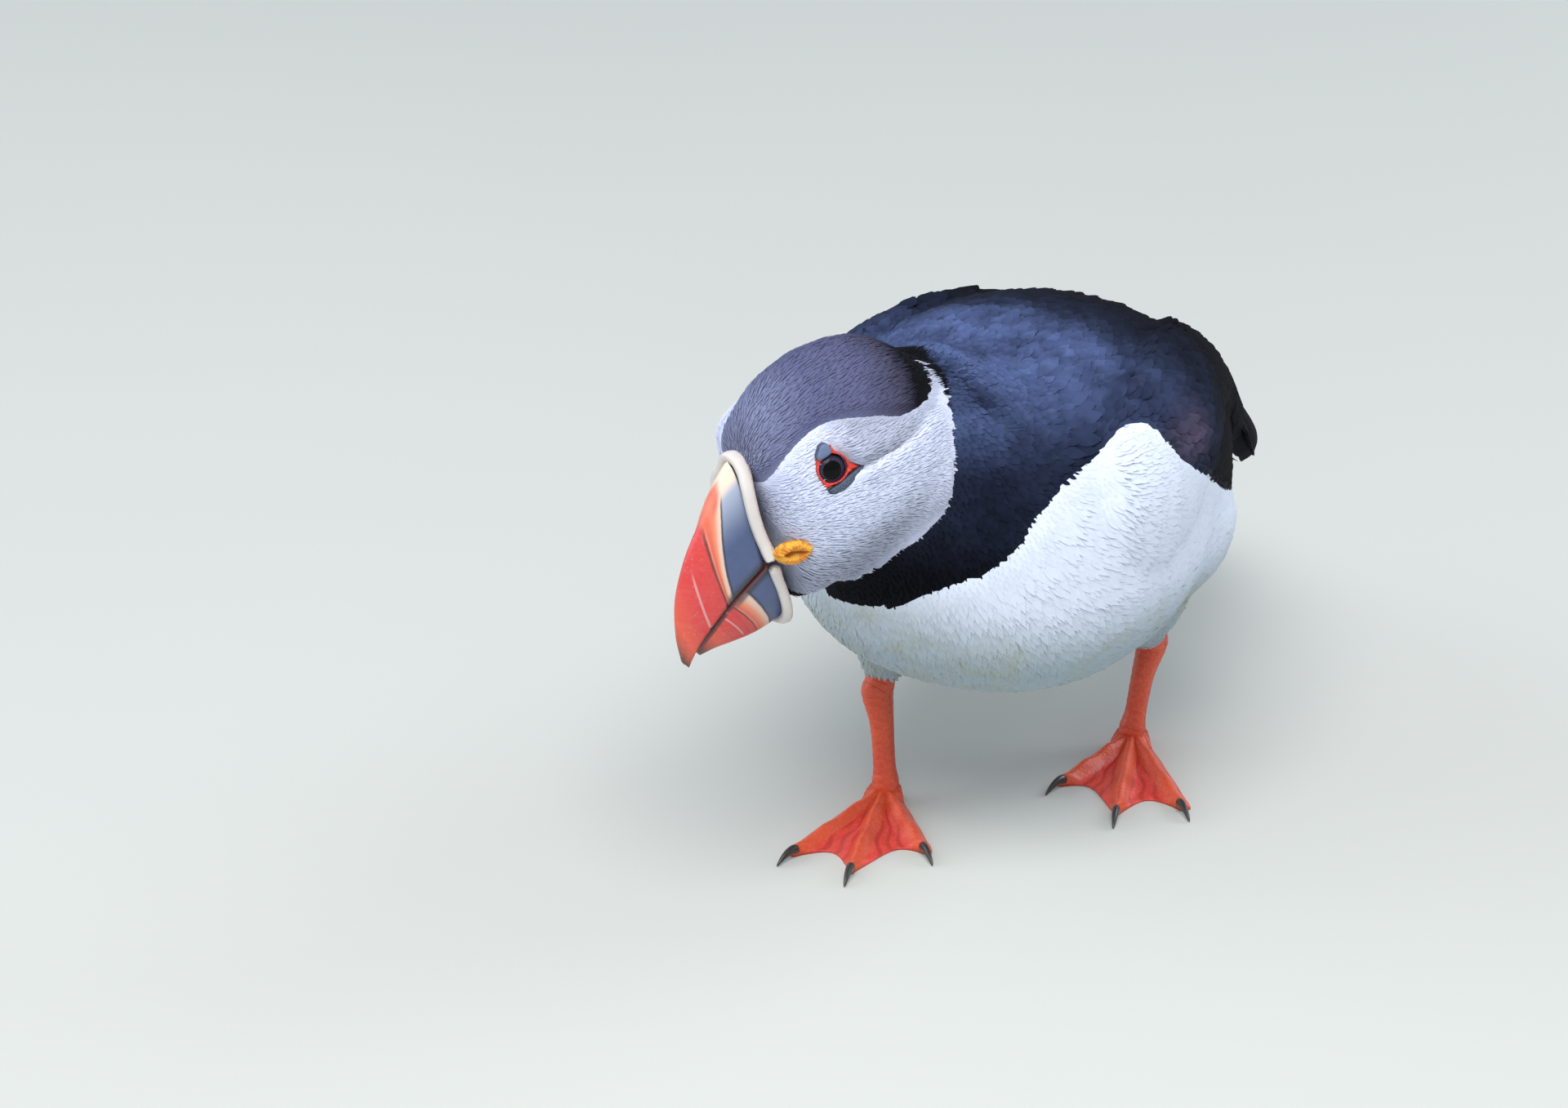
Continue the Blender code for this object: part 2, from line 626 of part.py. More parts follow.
def foot(word, parts):
    """Webbed foot with a flat sole."""
    at = Vector((*FEET[word], 0.0))
    mirror = 1 if word == "left" else -1
    heading = radians(FOOT_TURN[word])
    forward = Vector((sin(heading), -cos(heading), 0.0))
    left = Vector((cos(heading), sin(heading), 0.0)) * mirror
    mesh = bmesh.new()
    top, sole = foot_sheets(mesh, at, forward, left)
    steps = range(FOOT_ALONG)
    for sheet in (top, sole):
        for one, two in zip(sheet, sheet[1:]):
            for step in steps:
                mesh.faces.new((one[step], one[step + 1], two[step + 1], two[step]))
    for high, low in ((top[0], sole[0]), (top[-1], sole[-1])):
        for step in steps:
            mesh.faces.new((high[step], high[step + 1], low[step + 1], low[step]))
    for one, two, below, beside in zip(top, top[1:], sole, sole[1:]):
        for step in (0, FOOT_ALONG):
            mesh.faces.new((one[step], two[step], beside[step], below[step]))
    add(mesh, "foot_" + word, "leg_orange", parts)
    for toe, (turn, reach) in TOES.items():
        aim = forward * cos(radians(turn)) + left * sin(radians(turn))
        claw("claw_%s_%s" % (toe, word), at + aim * (FOOT_LENGTH * reach + CLAW_START), aim, parts)


def claw(name, start, aim, parts):
    knots = []
    for share, radius in CLAW_SHAPE:
        rise = CLAW_HEIGHT + CLAW_ARCH * sin(pi * share) - CLAW_DROOP * share ** 2
        centre = start + aim * (share * CLAW_LENGTH) + Vector((0, 0, rise))
        knots.append((centre, radius * 0.8, radius))
    add(loft(claw_rings(knots, aim)), name, "claw_black", parts)


def claw_rings(knots, aim):
    side = Vector((-aim.y, aim.x, 0.0))
    rings = []
    for centre, width, height in knots:
        angle = np.linspace(0.0, 2.0 * pi, 8, endpoint=False)
        rings.append([centre + side * (width * cos(a)) + Vector((0, 0, height * sin(a)))
                      for a in angle])
    return rings


def legs(parts, body_cutter):
    for word in ("left", "right"):
        knee, heel = Vector(KNEES[word]), Vector(HEELS[word])
        down = (heel - knee).normalized()
        above, width, depth = THIGH_END
        knots = [(knee.lerp(heel, share), wide, deep) for share, wide, deep in THIGH_SHAPE]
        knots.append((heel - down * above, width, depth))
        thigh = add(loft(smooth_rings(along(knots, 14), 2)), "thigh_" + word,
                    "white_plumage", parts)
        cut(thigh, body_cutter)
        ankle = Vector((*FEET[word], FOOT_HEIGHT + GAP))
        knots = [(heel + down * under, wide, deep) for under, wide, deep in HEEL_SHAPE]
        knots += [(heel.lerp(ankle, share), wide, deep) for share, wide, deep in TARSUS_SHAPE]
        rings = smooth_rings(along(knots, 12), 2)
        rings[-1][:, 2] = ankle.z
        add(loft(rings), "tarsus_" + word, "leg_orange", parts)
        foot(word, parts)


def centre_on_floor(things):
    """Shift the meshes so that the box's middle is over the origin and the soles on z = 0."""
    corners = np.array([vertex.co for thing in things for vertex in thing.data.vertices])
    low, high = corners.min(axis=0), corners.max(axis=0)
    shift = Vector((-(low[0] + high[0]) / 2, -(low[1] + high[1]) / 2, -low[2]))
    for thing in things:
        thing.data.transform(Matrix.Translation(shift))


def main():
    for thing in list(bpy.data.objects):
        bpy.data.objects.remove(thing)
    parts = collection(NAME)
    tools = collection("cutters")
    body = whole_body(tools)
    pieces = body_pieces(body, parts, tools)
    body_cutter = swollen(body, "body_swollen", tools)
    wings_and_tail(parts, body_cutter)
    bill(parts, body_cutter)
    eyes(parts, tools, pieces["head"])
    legs(parts, body_cutter)
    things = [settle(thing) for thing in parts.objects]
    centre_on_floor(things)


main()
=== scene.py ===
"""Atlantic puffin, life size: skin, plumage, bill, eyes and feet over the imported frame.

Lengths are in millimetres until a mesh is made. The body faces -Y, its left side is +X and
+Z is up. Head and trunk have frames of their own with (forward, left, up) coordinates.
"""
import json
from math import atan2, cos, pi, radians, sin

import bmesh
import bpy
import numpy as np
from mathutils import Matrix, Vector
from mathutils.bvhtree import BVHTree

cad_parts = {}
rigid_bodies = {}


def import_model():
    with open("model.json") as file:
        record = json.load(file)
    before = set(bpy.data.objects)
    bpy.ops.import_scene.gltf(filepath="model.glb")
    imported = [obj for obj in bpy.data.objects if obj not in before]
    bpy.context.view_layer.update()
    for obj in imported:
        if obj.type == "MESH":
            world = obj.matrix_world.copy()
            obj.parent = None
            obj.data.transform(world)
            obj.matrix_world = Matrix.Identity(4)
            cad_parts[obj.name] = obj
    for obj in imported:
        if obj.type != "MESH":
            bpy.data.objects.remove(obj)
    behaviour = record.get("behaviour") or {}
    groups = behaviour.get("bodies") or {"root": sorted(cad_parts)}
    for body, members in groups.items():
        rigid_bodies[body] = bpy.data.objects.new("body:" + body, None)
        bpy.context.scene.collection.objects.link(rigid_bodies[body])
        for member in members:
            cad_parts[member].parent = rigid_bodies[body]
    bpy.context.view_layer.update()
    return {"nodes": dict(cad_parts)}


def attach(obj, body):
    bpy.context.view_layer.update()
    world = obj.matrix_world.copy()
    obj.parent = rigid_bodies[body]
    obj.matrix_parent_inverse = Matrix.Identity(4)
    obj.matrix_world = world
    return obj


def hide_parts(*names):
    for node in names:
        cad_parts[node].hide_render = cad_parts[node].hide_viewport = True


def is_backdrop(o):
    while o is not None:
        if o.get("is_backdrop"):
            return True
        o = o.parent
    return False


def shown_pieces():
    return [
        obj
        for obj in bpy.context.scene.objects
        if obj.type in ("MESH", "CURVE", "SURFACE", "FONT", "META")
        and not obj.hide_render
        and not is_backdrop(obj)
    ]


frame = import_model()

MM = 0.001
SIDES = (("left", 1), ("right", -1))
WORLD = np.eye(4)

# head frame: what the eyes and the bill's tip measure in it
EYE_AT = (-0.72, 12.33, -0.90)
BILL_TIP = (45.05, 0.0, -30.05)
NECK_AXIS = np.array((0.673, 0.0, 0.74))    # from the shoulders to the crown
# trunk frame
TRUNK_AT = (0.0, -9.04, 74.5)
TRUNK_PITCH = -8.0
# eye
EYE_RADIUS = 5.2
EYE_TILT = 10.0
EYE_FORWARD = 8.0
IRIS_RADIUS = 3.45
PUPIL_RADIUS = 2.15
# legs
FEET = {"left": (20.5, 14.96), "right": (-21.0, -37.04)}
FOOT_TURN = {"left": 16.0, "right": 12.0}
HEELS = {"left": (22.5, 19.96, 27.0), "right": (-24.5, -33.04, 28.5)}
KNEES = {"left": (23.0, 3.96, 50.0), "right": (-23.0, -26.04, 50.0)}
FOOT_LENGTH = 38.5
FOOT_HEIGHT = 4.6
# coat
SKIN_VOXEL = 1.25
SWELL = 0.45                    # by which the flesh is swollen to close the cuts between nodes
BAKE_PATCH = 0.003              # share of the map that one feather takes


# ---- meshes -------------------------------------------------------------------------

def read(items, field, width=1, kind=float):
    """One field of a mesh's items, as rows where each item has several values."""
    flat = np.empty(len(items) * width, kind)
    items.foreach_get(field, flat)
    return flat.reshape(-1, width) if width > 1 else flat


def points_of(thing):
    """Vertices of an object's mesh, in millimetres."""
    return read(thing.data.vertices, "co", 3) / MM


def shown(name, data):
    """New object in the scene."""
    thing = bpy.data.objects.new(name, data)
    bpy.context.scene.collection.objects.link(thing)
    return thing


def piece(name, mesh, finish, slot=None, replaced=(), **numbers):
    """Smooth object from (points in millimetres, faces), with named numbers on its points."""
    points, faces = mesh
    data = bpy.data.meshes.new(name)
    data.from_pydata((np.asarray(points) * MM).tolist(), [], faces)
    data.validate()
    data.shade_smooth()
    whole = bmesh.new()
    whole.from_mesh(data)
    bmesh.ops.recalc_face_normals(whole, faces=whole.faces)
    whole.to_mesh(data)
    whole.free()
    data.materials.append(finish)
    thing = shown(name, data)
    for label, values in numbers.items():
        attribute(thing, label, values)
    if replaced:
        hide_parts(*replaced)
    return thing


def grid(rows, columns, closed=False):
    """Quads of a grid of rows and columns; closed joins each row's ends."""
    last = columns if closed else columns - 1
    return [(r * columns + c, r * columns + (c + 1) % columns,
             (r + 1) * columns + (c + 1) % columns, (r + 1) * columns + c)
            for r in range(rows - 1) for c in range(last)]


def lofted(rings, matrix=WORLD):
    """Points and faces of a closed loft over rings in a frame, with a fan on each end."""
    rings = np.asarray(rings)
    rows, columns = rings.shape[:2]
    points = np.concatenate([rings.reshape(-1, 3), rings[:1].mean(1), rings[-1:].mean(1)])
    faces = grid(rows, columns, True)
    start, end = rows * columns, rows * columns + 1
    for c in range(columns):
        after = (c + 1) % columns
        faces.append((start, after, c))
        faces.append((end, start - columns + c, start - columns + after))
    return place(matrix, points), faces


def joined(parts):
    """Points and faces of several (points, faces) as one."""
    points, faces, count = [], [], 0
    for some, those in parts:
        points.append(some)
        faces += [tuple(index + count for index in face) for face in those]
        count += len(some)
    return np.concatenate(points), faces


def two_sheets(rows, columns):
    """Faces of a closed body of two grids of one size, joined along their edges."""
    count = rows * columns
    sheet = grid(rows, columns)
    edge = ([(0, c) for c in range(columns)] + [(r, columns - 1) for r in range(1, rows)]
            + [(rows - 1, c) for c in range(columns - 2, -1, -1)]
            + [(r, 0) for r in range(rows - 2, 0, -1)])
    edge = [r * columns + c for r, c in edge]
    return (sheet + [tuple(index + count for index in face[::-1]) for face in sheet]
            + [(a, b, b + count, a + count) for a, b in zip(edge, edge[1:] + edge[:1])])


def attribute(thing, name, values, kind="FLOAT", domain="POINT"):
    """Store values on an object's mesh under a name."""
    layer = thing.data.attributes.new(name, kind, domain)
    field = "value" if kind == "FLOAT" else "vector"
    layer.data.foreach_set(field, np.asarray(values, np.float32).ravel())


def settle(thing):
    """Apply an object's modifiers to a mesh of its own."""
    bpy.context.view_layer.update()
    graph = bpy.context.evaluated_depsgraph_get()
    data = bpy.data.meshes.new_from_object(thing.evaluated_get(graph))
    thing.modifiers.clear()
    thing.data = data


def through(knots, steps):
    """Catmull-Rom curve through the knots, with steps points to each stretch."""
    knots = np.asarray(knots, float)
    padded = np.concatenate([[2 * knots[0] - knots[1]], knots, [2 * knots[-1] - knots[-2]]])
    made = []
    for index in range(1, len(padded) - 2):
        a, b, c, d = padded[index - 1:index + 3]
        for step in range(steps):
            t = step / steps
            made.append(0.5 * (2 * b + (c - a) * t + (2 * a - 5 * b + 4 * c - d) * t ** 2
                               + (3 * b - a - 3 * c + d) * t ** 3))
    made.append(knots[-1])
    return np.array(made)


def ramp(value, low, high):
    """Smooth step from 0 at low to 1 at high."""
    t = np.clip((np.asarray(value, float) - low) / (high - low), 0.0, 1.0)
    return t * t * (3.0 - 2.0 * t)


def bell(*terms):
    """Bell from 1 at its centre towards 0; each term is (value, centre, width)."""
    return np.exp(-sum(((value - centre) / width) ** 2 for value, centre, width in terms))


def around(count):
    """Angles of a full turn."""
    return np.linspace(0.0, 2.0 * pi, count, endpoint=False)


def unit(vector):
    """The vector at length 1."""
    return vector / np.linalg.norm(vector)


def units(vectors):
    """Rows of vectors at length 1."""
    return vectors / np.maximum(np.linalg.norm(vectors, axis=1), 1e-6)[:, None]


def run_at(way, index):
    """Direction of a way at one of its points."""
    return unit(way[min(index + 1, len(way) - 1)] - way[max(index - 1, 0)])


# ---- frames -------------------------------------------------------------------------

def head_frame():
    """Head axes as a 4x4 array, from the eyeballs and the tip of the bill."""
    nodes = frame["nodes"]
    left, right = points_of(nodes["eye_left"]).mean(0), points_of(nodes["eye_right"]).mean(0)
    middle = (left + right) / 2
    bill = points_of(nodes["bill_upper"])
    reach = np.linalg.norm(bill - middle, axis=1)
    side = unit(left - right)
    aim = bill[reach > reach.max() - 0.6].mean(0) - middle
    aim = unit(aim - side * (aim @ side))
    lifted = np.cross(aim, side)
    angle = atan2(BILL_TIP[2] - EYE_AT[2], BILL_TIP[0] - EYE_AT[0])
    forward = cos(angle) * aim - sin(angle) * lifted
    up = sin(angle) * aim + cos(angle) * lifted
    matrix = np.eye(4)
    matrix[:3, :3] = np.stack([forward, side, up], 1)
    matrix[:3, 3] = middle - forward * EYE_AT[0] - up * EYE_AT[2]
    return matrix


def trunk_frame():
    """Trunk axes as a 4x4 array."""
    nod = radians(TRUNK_PITCH)
    matrix = np.eye(4)
    matrix[:3, :3] = np.array([[0, 1, 0], [-cos(nod), 0, -sin(nod)], [-sin(nod), 0, cos(nod)]])
    matrix[:3, 3] = TRUNK_AT
    return matrix


HEAD = head_frame()
TRUNK = trunk_frame()


def place(matrix, points):
    """World points of points in a frame's own coordinates."""
    return np.asarray(points, float) @ matrix[:3, :3].T + matrix[:3, 3]


def seen_from(matrix, points):
    """World points in a frame's own coordinates."""
    return (np.asarray(points, float) - matrix[:3, 3]) @ matrix[:3, :3]


def eye_frame(side):
    """Eye axes: forward, up and outward, with the origin at the eyeball's centre."""
    tilt, ahead = radians(EYE_TILT), radians(EYE_FORWARD)
    outward = unit(np.array([sin(ahead), side * cos(ahead) * cos(tilt), sin(tilt)]))
    up = unit(np.array([0.0, 0.0, 1.0]) - outward * outward[2])
    forward = np.cross(outward, up) * side
    matrix = np.eye(4)
    matrix[:3, :3] = HEAD[:3, :3] @ np.stack([forward, up, outward], 1)
    matrix[:3, 3] = place(HEAD, (EYE_AT[0], side * EYE_AT[1], EYE_AT[2]))
    return matrix


EYES = {word: eye_frame(side) for word, side in SIDES}


# ---- markings -----------------------------------------------------------------------

# white disc of the face seen from the side of the head, (forward, up), clockwise
DISC = ((15.4, -2.5), (13.6, -0.4), (12.3, 1.6), (10.9, 3.2), (8.5, 5.1), (5.9, 6.5),
        (2.5, 7.8), (-1.0, 8.6), (-3.3, 8.7), (-5.6, 8.4), (-9.3, 7.1), (-11.9, 5.7),
        (-14.8, 4.3), (-17.4, 2.5), (-19.2, 1.4), (-23.4, 0.4), (-27.4, -0.6), (-30.3, -0.9),
        (-32.4, 0.5), (-33.3, 2.0), (-34.2, 1.4), (-33.5, -2.2), (-31.2, -6.0), (-27.1, -12.0),
        (-24.2, -16.4), (-21.1, -20.6), (-17.0, -24.4), (-13.5, -26.5), (-10.0, -27.9),
        (-5.7, -29.3), (-2.3, -31.0), (1.0, -32.4), (3.3, -33.8), (9.0, -33.0), (14.0, -29.5),
        (19.5, -23.5), (20.0, -14.0), (18.0, -6.0))
# furrow behind the eye, (forward, up)
FURROW = ((-6.6, -2.6), (-8.8, -3.0), (-12.5, -3.2), (-16.7, -3.1), (-20.3, -2.8), (-25.0, -2.7))
# upper limit of the white under-parts: turn round the breast in degrees, height
BREAST_EDGE = ((0, -14.6), (12, -9.6), (22, -5.6), (31, -3.1), (38, 0.5), (43, 4.2), (47, 9.0),
               (54, 13.3), (59, 16.5), (66, 19.0), (74, 21.6), (78, 24.4), (82, 26.8), (86, 27.7),
               (91, 27.6), (93.6, 25.6), (95, 22.5), (98, 19.6), (103, 16.5), (110, 13.2),
               (122, 8.5), (134, 4.1), (144, -2.0), (155, -7.0), (165, -10.0), (180, -13.0))
THROAT_BAND = 8.0               # breadth of the dark band under the chin
REAR_BAND = 1.6                 # and behind the cheek
NECK_FOLD = 55.0                # crease between the neck and the mantle
BREAST_CENTRE = (30.0, -3.0)    # forward, left


def within(outline, spots):
    """Signed distance of 2-D spots to a closed outline, positive inside."""
    outline, spots = np.asarray(outline, float), np.asarray(spots, float)
    nearest = np.full(len(spots), 1e9)
    inside = np.zeros(len(spots), bool)
    for start, end in zip(outline, np.roll(outline, -1, axis=0)):
        run = end - start
        share = np.clip(((spots - start) @ run) / (run @ run), 0.0, 1.0)
        gap = np.linalg.norm(spots - start - share[:, None] * run, axis=1)
        nearest = np.minimum(nearest, gap)
        crosses = (start[1] > spots[:, 1]) != (end[1] > spots[:, 1])
        rise = np.where(abs(run[1]) < 1e-9, 1e-9, run[1])
        reach = start[0] + (spots[:, 1] - start[1]) / rise * run[0]
        inside ^= crosses & (spots[:, 0] < reach)
    return np.where(inside, nearest, -nearest)


def along_line(line, spots):
    """Distance to an open line, which side of it, and the share of the way along it."""
    line = through(line, 6)
    best = np.full(len(spots), 1e9)
    side, share = np.zeros(len(spots)), np.zeros(len(spots))
    for index, (start, end) in enumerate(zip(line, line[1:])):
        run = end - start
        part = np.clip(((spots - start) @ run) / (run @ run), 0.0, 1.0)
        offset = spots - start - part[:, None] * run
        gap = np.linalg.norm(offset, axis=1)
        nearer = gap < best
        best = np.where(nearer, gap, best)
        side = np.where(nearer, np.sign(offset[:, 1]), side)
        share = np.where(nearer, (index + part) / (len(line) - 1), share)
    return best, side, share


# outer edge of the bare ring round the eye: (turn in degrees, radius) about its centre
RING_CENTRE = (-0.4, 0.2)
RING_INNER = 3.2
RING_EDGE = ((-151, 6.8), (-143, 5.0), (-130, 4.0), (-105, 3.75), (-81, 3.7), (-60, 3.95),
             (-43, 5.0), (-32, 4.1), (-10, 3.75), (8, 3.75), (40, 3.85), (52, 4.15), (58, 4.6),
             (66, 3.8), (80, 3.6), (94, 3.65), (106, 4.1), (113, 5.3), (120, 4.2), (130, 3.75),
             (155, 3.65), (176, 3.75), (195, 4.1), (203, 5.0))


def ring_reach(turn):
    """Outer radius of the bare ring round the eye, with its drawn-out corners."""
    return np.interp(np.degrees(turn), *np.array(RING_EDGE, float).T, period=360)


def ring_gap(ahead, up):
    """Distance outside the bare ring round an eye, from places in the eye's frame."""
    one, two = ahead - RING_CENTRE[0], up - RING_CENTRE[1]
    return np.hypot(one, two) - ring_reach(np.arctan2(two, one))


UPPER_PLATE = ((1.9, 3.75), (1.75, 4.7), (0.83, 5.6), (-0.14, 6.45), (-1.2, 6.45), (-1.9, 5.6),
               (-2.0, 4.4), (-1.6, 3.55), (-0.5, 3.35), (0.8, 3.4))
LOWER_PLATE = ((3.2, -3.5), (1.6, -3.5), (0.2, -3.5), (-1.6, -3.25), (-3.4, -3.0), (-6.9, -2.7),
               (-5.2, -4.3), (-1.9, -5.25), (0.7, -5.4), (2.5, -4.85))


def bare_round_eyes(points):
    """Distance outside the bare parts round the eyes, negative on them."""
    clear = np.full(len(points), 1e9)
    for local in EYES.values():
        ahead, up, out = seen_from(local, points).T
        spots = np.stack([ahead, up], 1)
        plates = -np.maximum(within(UPPER_PLATE, spots), within(LOWER_PLATE, spots))
        here = np.where(out > -4.0, np.minimum(ring_gap(ahead, up), plates), 1e9)
        clear = np.minimum(clear, here)
    return clear


def markings(points):
    """Masks of the plumage from 0 to 1, by name, at points on or near the skin."""
    head = seen_from(HEAD, points)
    ahead, aside, up = head.T
    forward, left, rise = seen_from(TRUNK, points).T
    on_head = ramp(head @ NECK_AXIS, -27.0, -24.5)
    # white face; on the right the brow's white runs higher
    raised = 6.5 * ramp(-aside, 4.0, 8.5) * bell((ahead, 6.5, 6.0))
    disc = within(DISC, np.stack([ahead, up - raised], 1))
    nape = ramp(-ahead, 27.0, 33.0) * (1.0 - ramp(abs(aside), 3.0, 7.0))
    face = ramp(disc, -0.25, 0.25) * ramp(-nape, -0.6, -0.2) * ramp(aside, -22.4, -21.8)
    crown = ramp(up, -9.0, -4.0) * (1.0 - face)
    # grey painted shade over the furrow and low on the cheek, and the furrow's dark line, painted
    # shade in its crease
    furrow, side, share = along_line(FURROW, np.stack([ahead, up], 1))
    over = ramp(side * furrow, 0.0, 1.5) * ramp(-ahead, 0.0, 9.0) * ramp(up, -6.0, -4.5)
    under = ramp(-up, 13.0, 24.0) * 0.75 + ramp(-ahead, 12.0, 30.0) * 0.30
    shade = np.clip(0.72 * over + under * (1.0 - over), 0.0, 1.0)
    line = 0.8 * bell((furrow, 0.0, 0.42)) * (1.0 - ramp(share, 0.35, 0.95)) * face
    # dark back, wing tips and throat band
    round_breast = np.degrees(np.arctan2(abs(left - BREAST_CENTRE[1]),
                                         forward - BREAST_CENTRE[0]))
    limit = np.interp(round_breast, *np.array(BREAST_EDGE, float).T)
    tips = ramp(-forward, 64.0, 70.0) * ramp(abs(left), 13.0, 16.0)
    wider = np.maximum(ramp(ahead, -18.0, -6.0), ramp(-aside, 2.0, 8.0))
    band = REAR_BAND + (THROAT_BAND - REAR_BAND) * wider
    near = np.linalg.norm(points - HEAD[:3, 3], axis=1)
    band = ramp(disc + band, -0.3, 0.3) * ramp(-near, -52.0, -50.0)
    dark = np.maximum(np.maximum(ramp(rise - limit, -0.3, 0.3), tips), band)
    dark = np.maximum(dark * (1.0 - face), crown)
    # tones within the dark plumage: the crown's fade, then painted sheen and painted reflection
    fade = np.maximum((14.0 - ahead - 0.75 * (up - 6.0)) / 47.0, 0.06)
    fade -= 0.06 * np.exp(-np.hypot(16.5 - ahead, up - 1.0) / 3.0)
    # painted sheen: a lilac patch on the wing
    lilac = bell((forward, 16.0, 7.0), (rise, 22.5, 4.5))
    # painted reflection of the sky: the mantle blue at its front and top, less so aside, and
    # faintly low on the sides
    mantle_sky_reflection = ramp(forward, 2.0, 27.0) * ramp(rise, 17.0, 36.0)
    mantle_sky_reflection *= 1.0 - 0.6 * ramp(abs(left), 20.0, 34.0)
    # painted shade along the crease between the neck and the mantle
    mantle_sky_reflection *= 1.0 - 0.9 * (bell((forward, NECK_FOLD, 2.2)) * ramp(rise, 27.0, 33.0))
    sheen = 0.14 * ramp(rise, -6.0, 14.0) * ramp(forward, -24.0, 10.0) + 0.86 * mantle_sky_reflection
    is_head = np.maximum(face, on_head * ramp(up, -26.0, -20.0))
    # the soil mask both darkens the belly towards the bottom as painted shade and places real
    # soiled patches
    return {"face": face, "dark": np.where(face > 0.5, 0.0, dark), "crown": crown * on_head,
            "fade": np.clip(fade, 0.0, 1.0), "shade": shade, "furrow": line,
            "soil": ramp(-rise, 6.0, 30.0) * (1.0 - is_head),
            "sheen": sheen * (1.0 - on_head), "lilac": lilac * (1.0 - on_head)}


# ---- skin ---------------------------------------------------------------------------

FLESH = ("head", "neck", "trunk", "thigh_left", "thigh_right", "wing_left", "wing_right")


def whole_skin():
    """One closed surface over the flesh of the frame, with no seam."""
    whole = bmesh.new()
    for node in FLESH + ("eye_left", "eye_right"):
        part = bmesh.new()
        part.from_mesh(frame["nodes"][node].data)
        bmesh.ops.remove_doubles(part, verts=part.verts, dist=1e-6)
        part.normal_update()
        for vertex in part.verts:
            vertex.co += vertex.normal * SWELL * MM
        copy = bpy.data.meshes.new(node + "_copy")
        part.to_mesh(copy)
        part.free()
        whole.from_mesh(copy)
        bpy.data.meshes.remove(copy)
    data = bpy.data.meshes.new("plumage_skin")
    whole.to_mesh(data)
    whole.free()
    skin = shown("plumage_skin", data)
    remesh = skin.modifiers.new("voxels", "REMESH")
    remesh.mode = "VOXEL"
    remesh.voxel_size = SKIN_VOXEL * MM
    soften = skin.modifiers.new("soften", "SMOOTH")
    soften.factor = 0.5
    soften.iterations = 14
    settle(skin)
    return skin


def finer_head(skin):
    """Split the faces of the face and crown once, for the folds round the eyes."""
    mesh = bmesh.new()
    mesh.from_mesh(skin.data)
    wanted = []
    for edge in mesh.edges:
        middle = np.array((edge.verts[0].co + edge.verts[1].co) / 2) / MM
        ahead, _, up = seen_from(HEAD, middle)
        if ahead > -24.0 and up > -20.0:
            wanted.append(edge)
    bmesh.ops.subdivide_edges(mesh, edges=wanted, cuts=1, use_grid_fill=True, smooth=0.0)
    bmesh.ops.triangulate(mesh, faces=[face for face in mesh.faces if len(face.verts) > 4])
    mesh.to_mesh(skin.data)
    mesh.free()
    skin.data.shade_smooth()


def coat_depth(points):
    """Depth of the coat over the skin: thin on the face, deep on the belly."""
    ahead, _, up = seen_from(HEAD, points).T
    legs = 1.0 - ramp(points[:, 2], 34.0, 44.0)
    wing_tip = ramp(-seen_from(TRUNK, points)[:, 0], 60.0, 76.0)
    depth = 1.0 - 0.45 * ramp(ahead, -40.0, -18.0) * ramp(up, -60.0, -20.0)
    return np.clip(depth - 0.4 * legs - 0.4 * wing_tip, 0.5, 1.0)


def folded(points, out):
    """Skin points sunk at the eyes and the furrow, and raised in the cheek and brow."""
    ahead, aside, up = seen_from(HEAD, points).T
    gap, side, share = along_line(FURROW, np.stack([ahead, up], 1))
    deep = (1.0 - 0.75 * share) * ramp(abs(aside), 8.0, 12.0)
    sink = 0.85 * bell((gap, 0.0, 0.85)) * deep
    swell = 0.55 * bell((gap, 2.6, 1.9)) * deep * np.where(side > 0, 1.0, 0.5)
    nape = 0.5 * bell((ahead, -27.0, 5.0)) - 1.2 * bell((ahead, -37.0, 5.0))
    nape = nape * (1.0 - ramp(abs(aside), 9.0, 15.0)) * ramp(up, -6.0, -1.0)
    brow = 0.9 * bell((ahead, 9.0, 5.0), (abs(aside), 8.0, 5.0), (up, 6.0, 6.0))
    brow += 1.6 * bell((ahead, 6.5, 5.5), (aside, -11.0, 4.5), (up, 5.5, 7.0))
    forward, _, rise = seen_from(TRUNK, points).T
    crease = 0.8 * bell((forward, NECK_FOLD, 1.9)) * ramp(rise, 27.0, 33.0)
    points = points + out * (swell - sink + nape + brow - crease)[:, None]
    for local in EYES.values():
        spots = seen_from(local, points)
        near = (1.0 - ramp(ring_gap(*spots[:, :2].T), -0.2, 1.5)) * (spots[:, 2] > -2.0)
        spots[:, 2] += near * (np.minimum(spots[:, 2], 3.75) - spots[:, 2])
        points = place(local, spots)
    return points


def along_skin(vectors, out):
    """Unit vectors laid flat on the skin."""
    return units(vectors - out * (vectors * out).sum(1)[:, None])


def lie_of_coat(points, out):
    """Direction in which the feathers lie, along the skin."""
    head, trunk = seen_from(HEAD, points), seen_from(TRUNK, points)
    straight, still = np.ones(len(points)), np.zeros(len(points))
    back = np.stack([-straight, 0.10 * np.sign(head[:, 1]),
                     -0.10 - 0.25 * ramp(-head[:, 2], 0.0, 20.0)], 1)
    on_head = ramp(head @ NECK_AXIS, -32.0, -22.0)
    flow = back @ HEAD[:3, :3].T * on_head[:, None]
    down = 0.75 * ramp(trunk[:, 0], 20.0, 60.0) + 0.12
    body = np.stack([-straight, still, -down], 1)
    flow += body @ TRUNK[:3, :3].T * (1.0 - on_head)[:, None]
    legs = 1.0 - ramp(points[:, 2], 34.0, 46.0)
    flow += np.array([0.0, 0.35, -1.6]) * legs[:, None]
    return along_skin(flow, out)


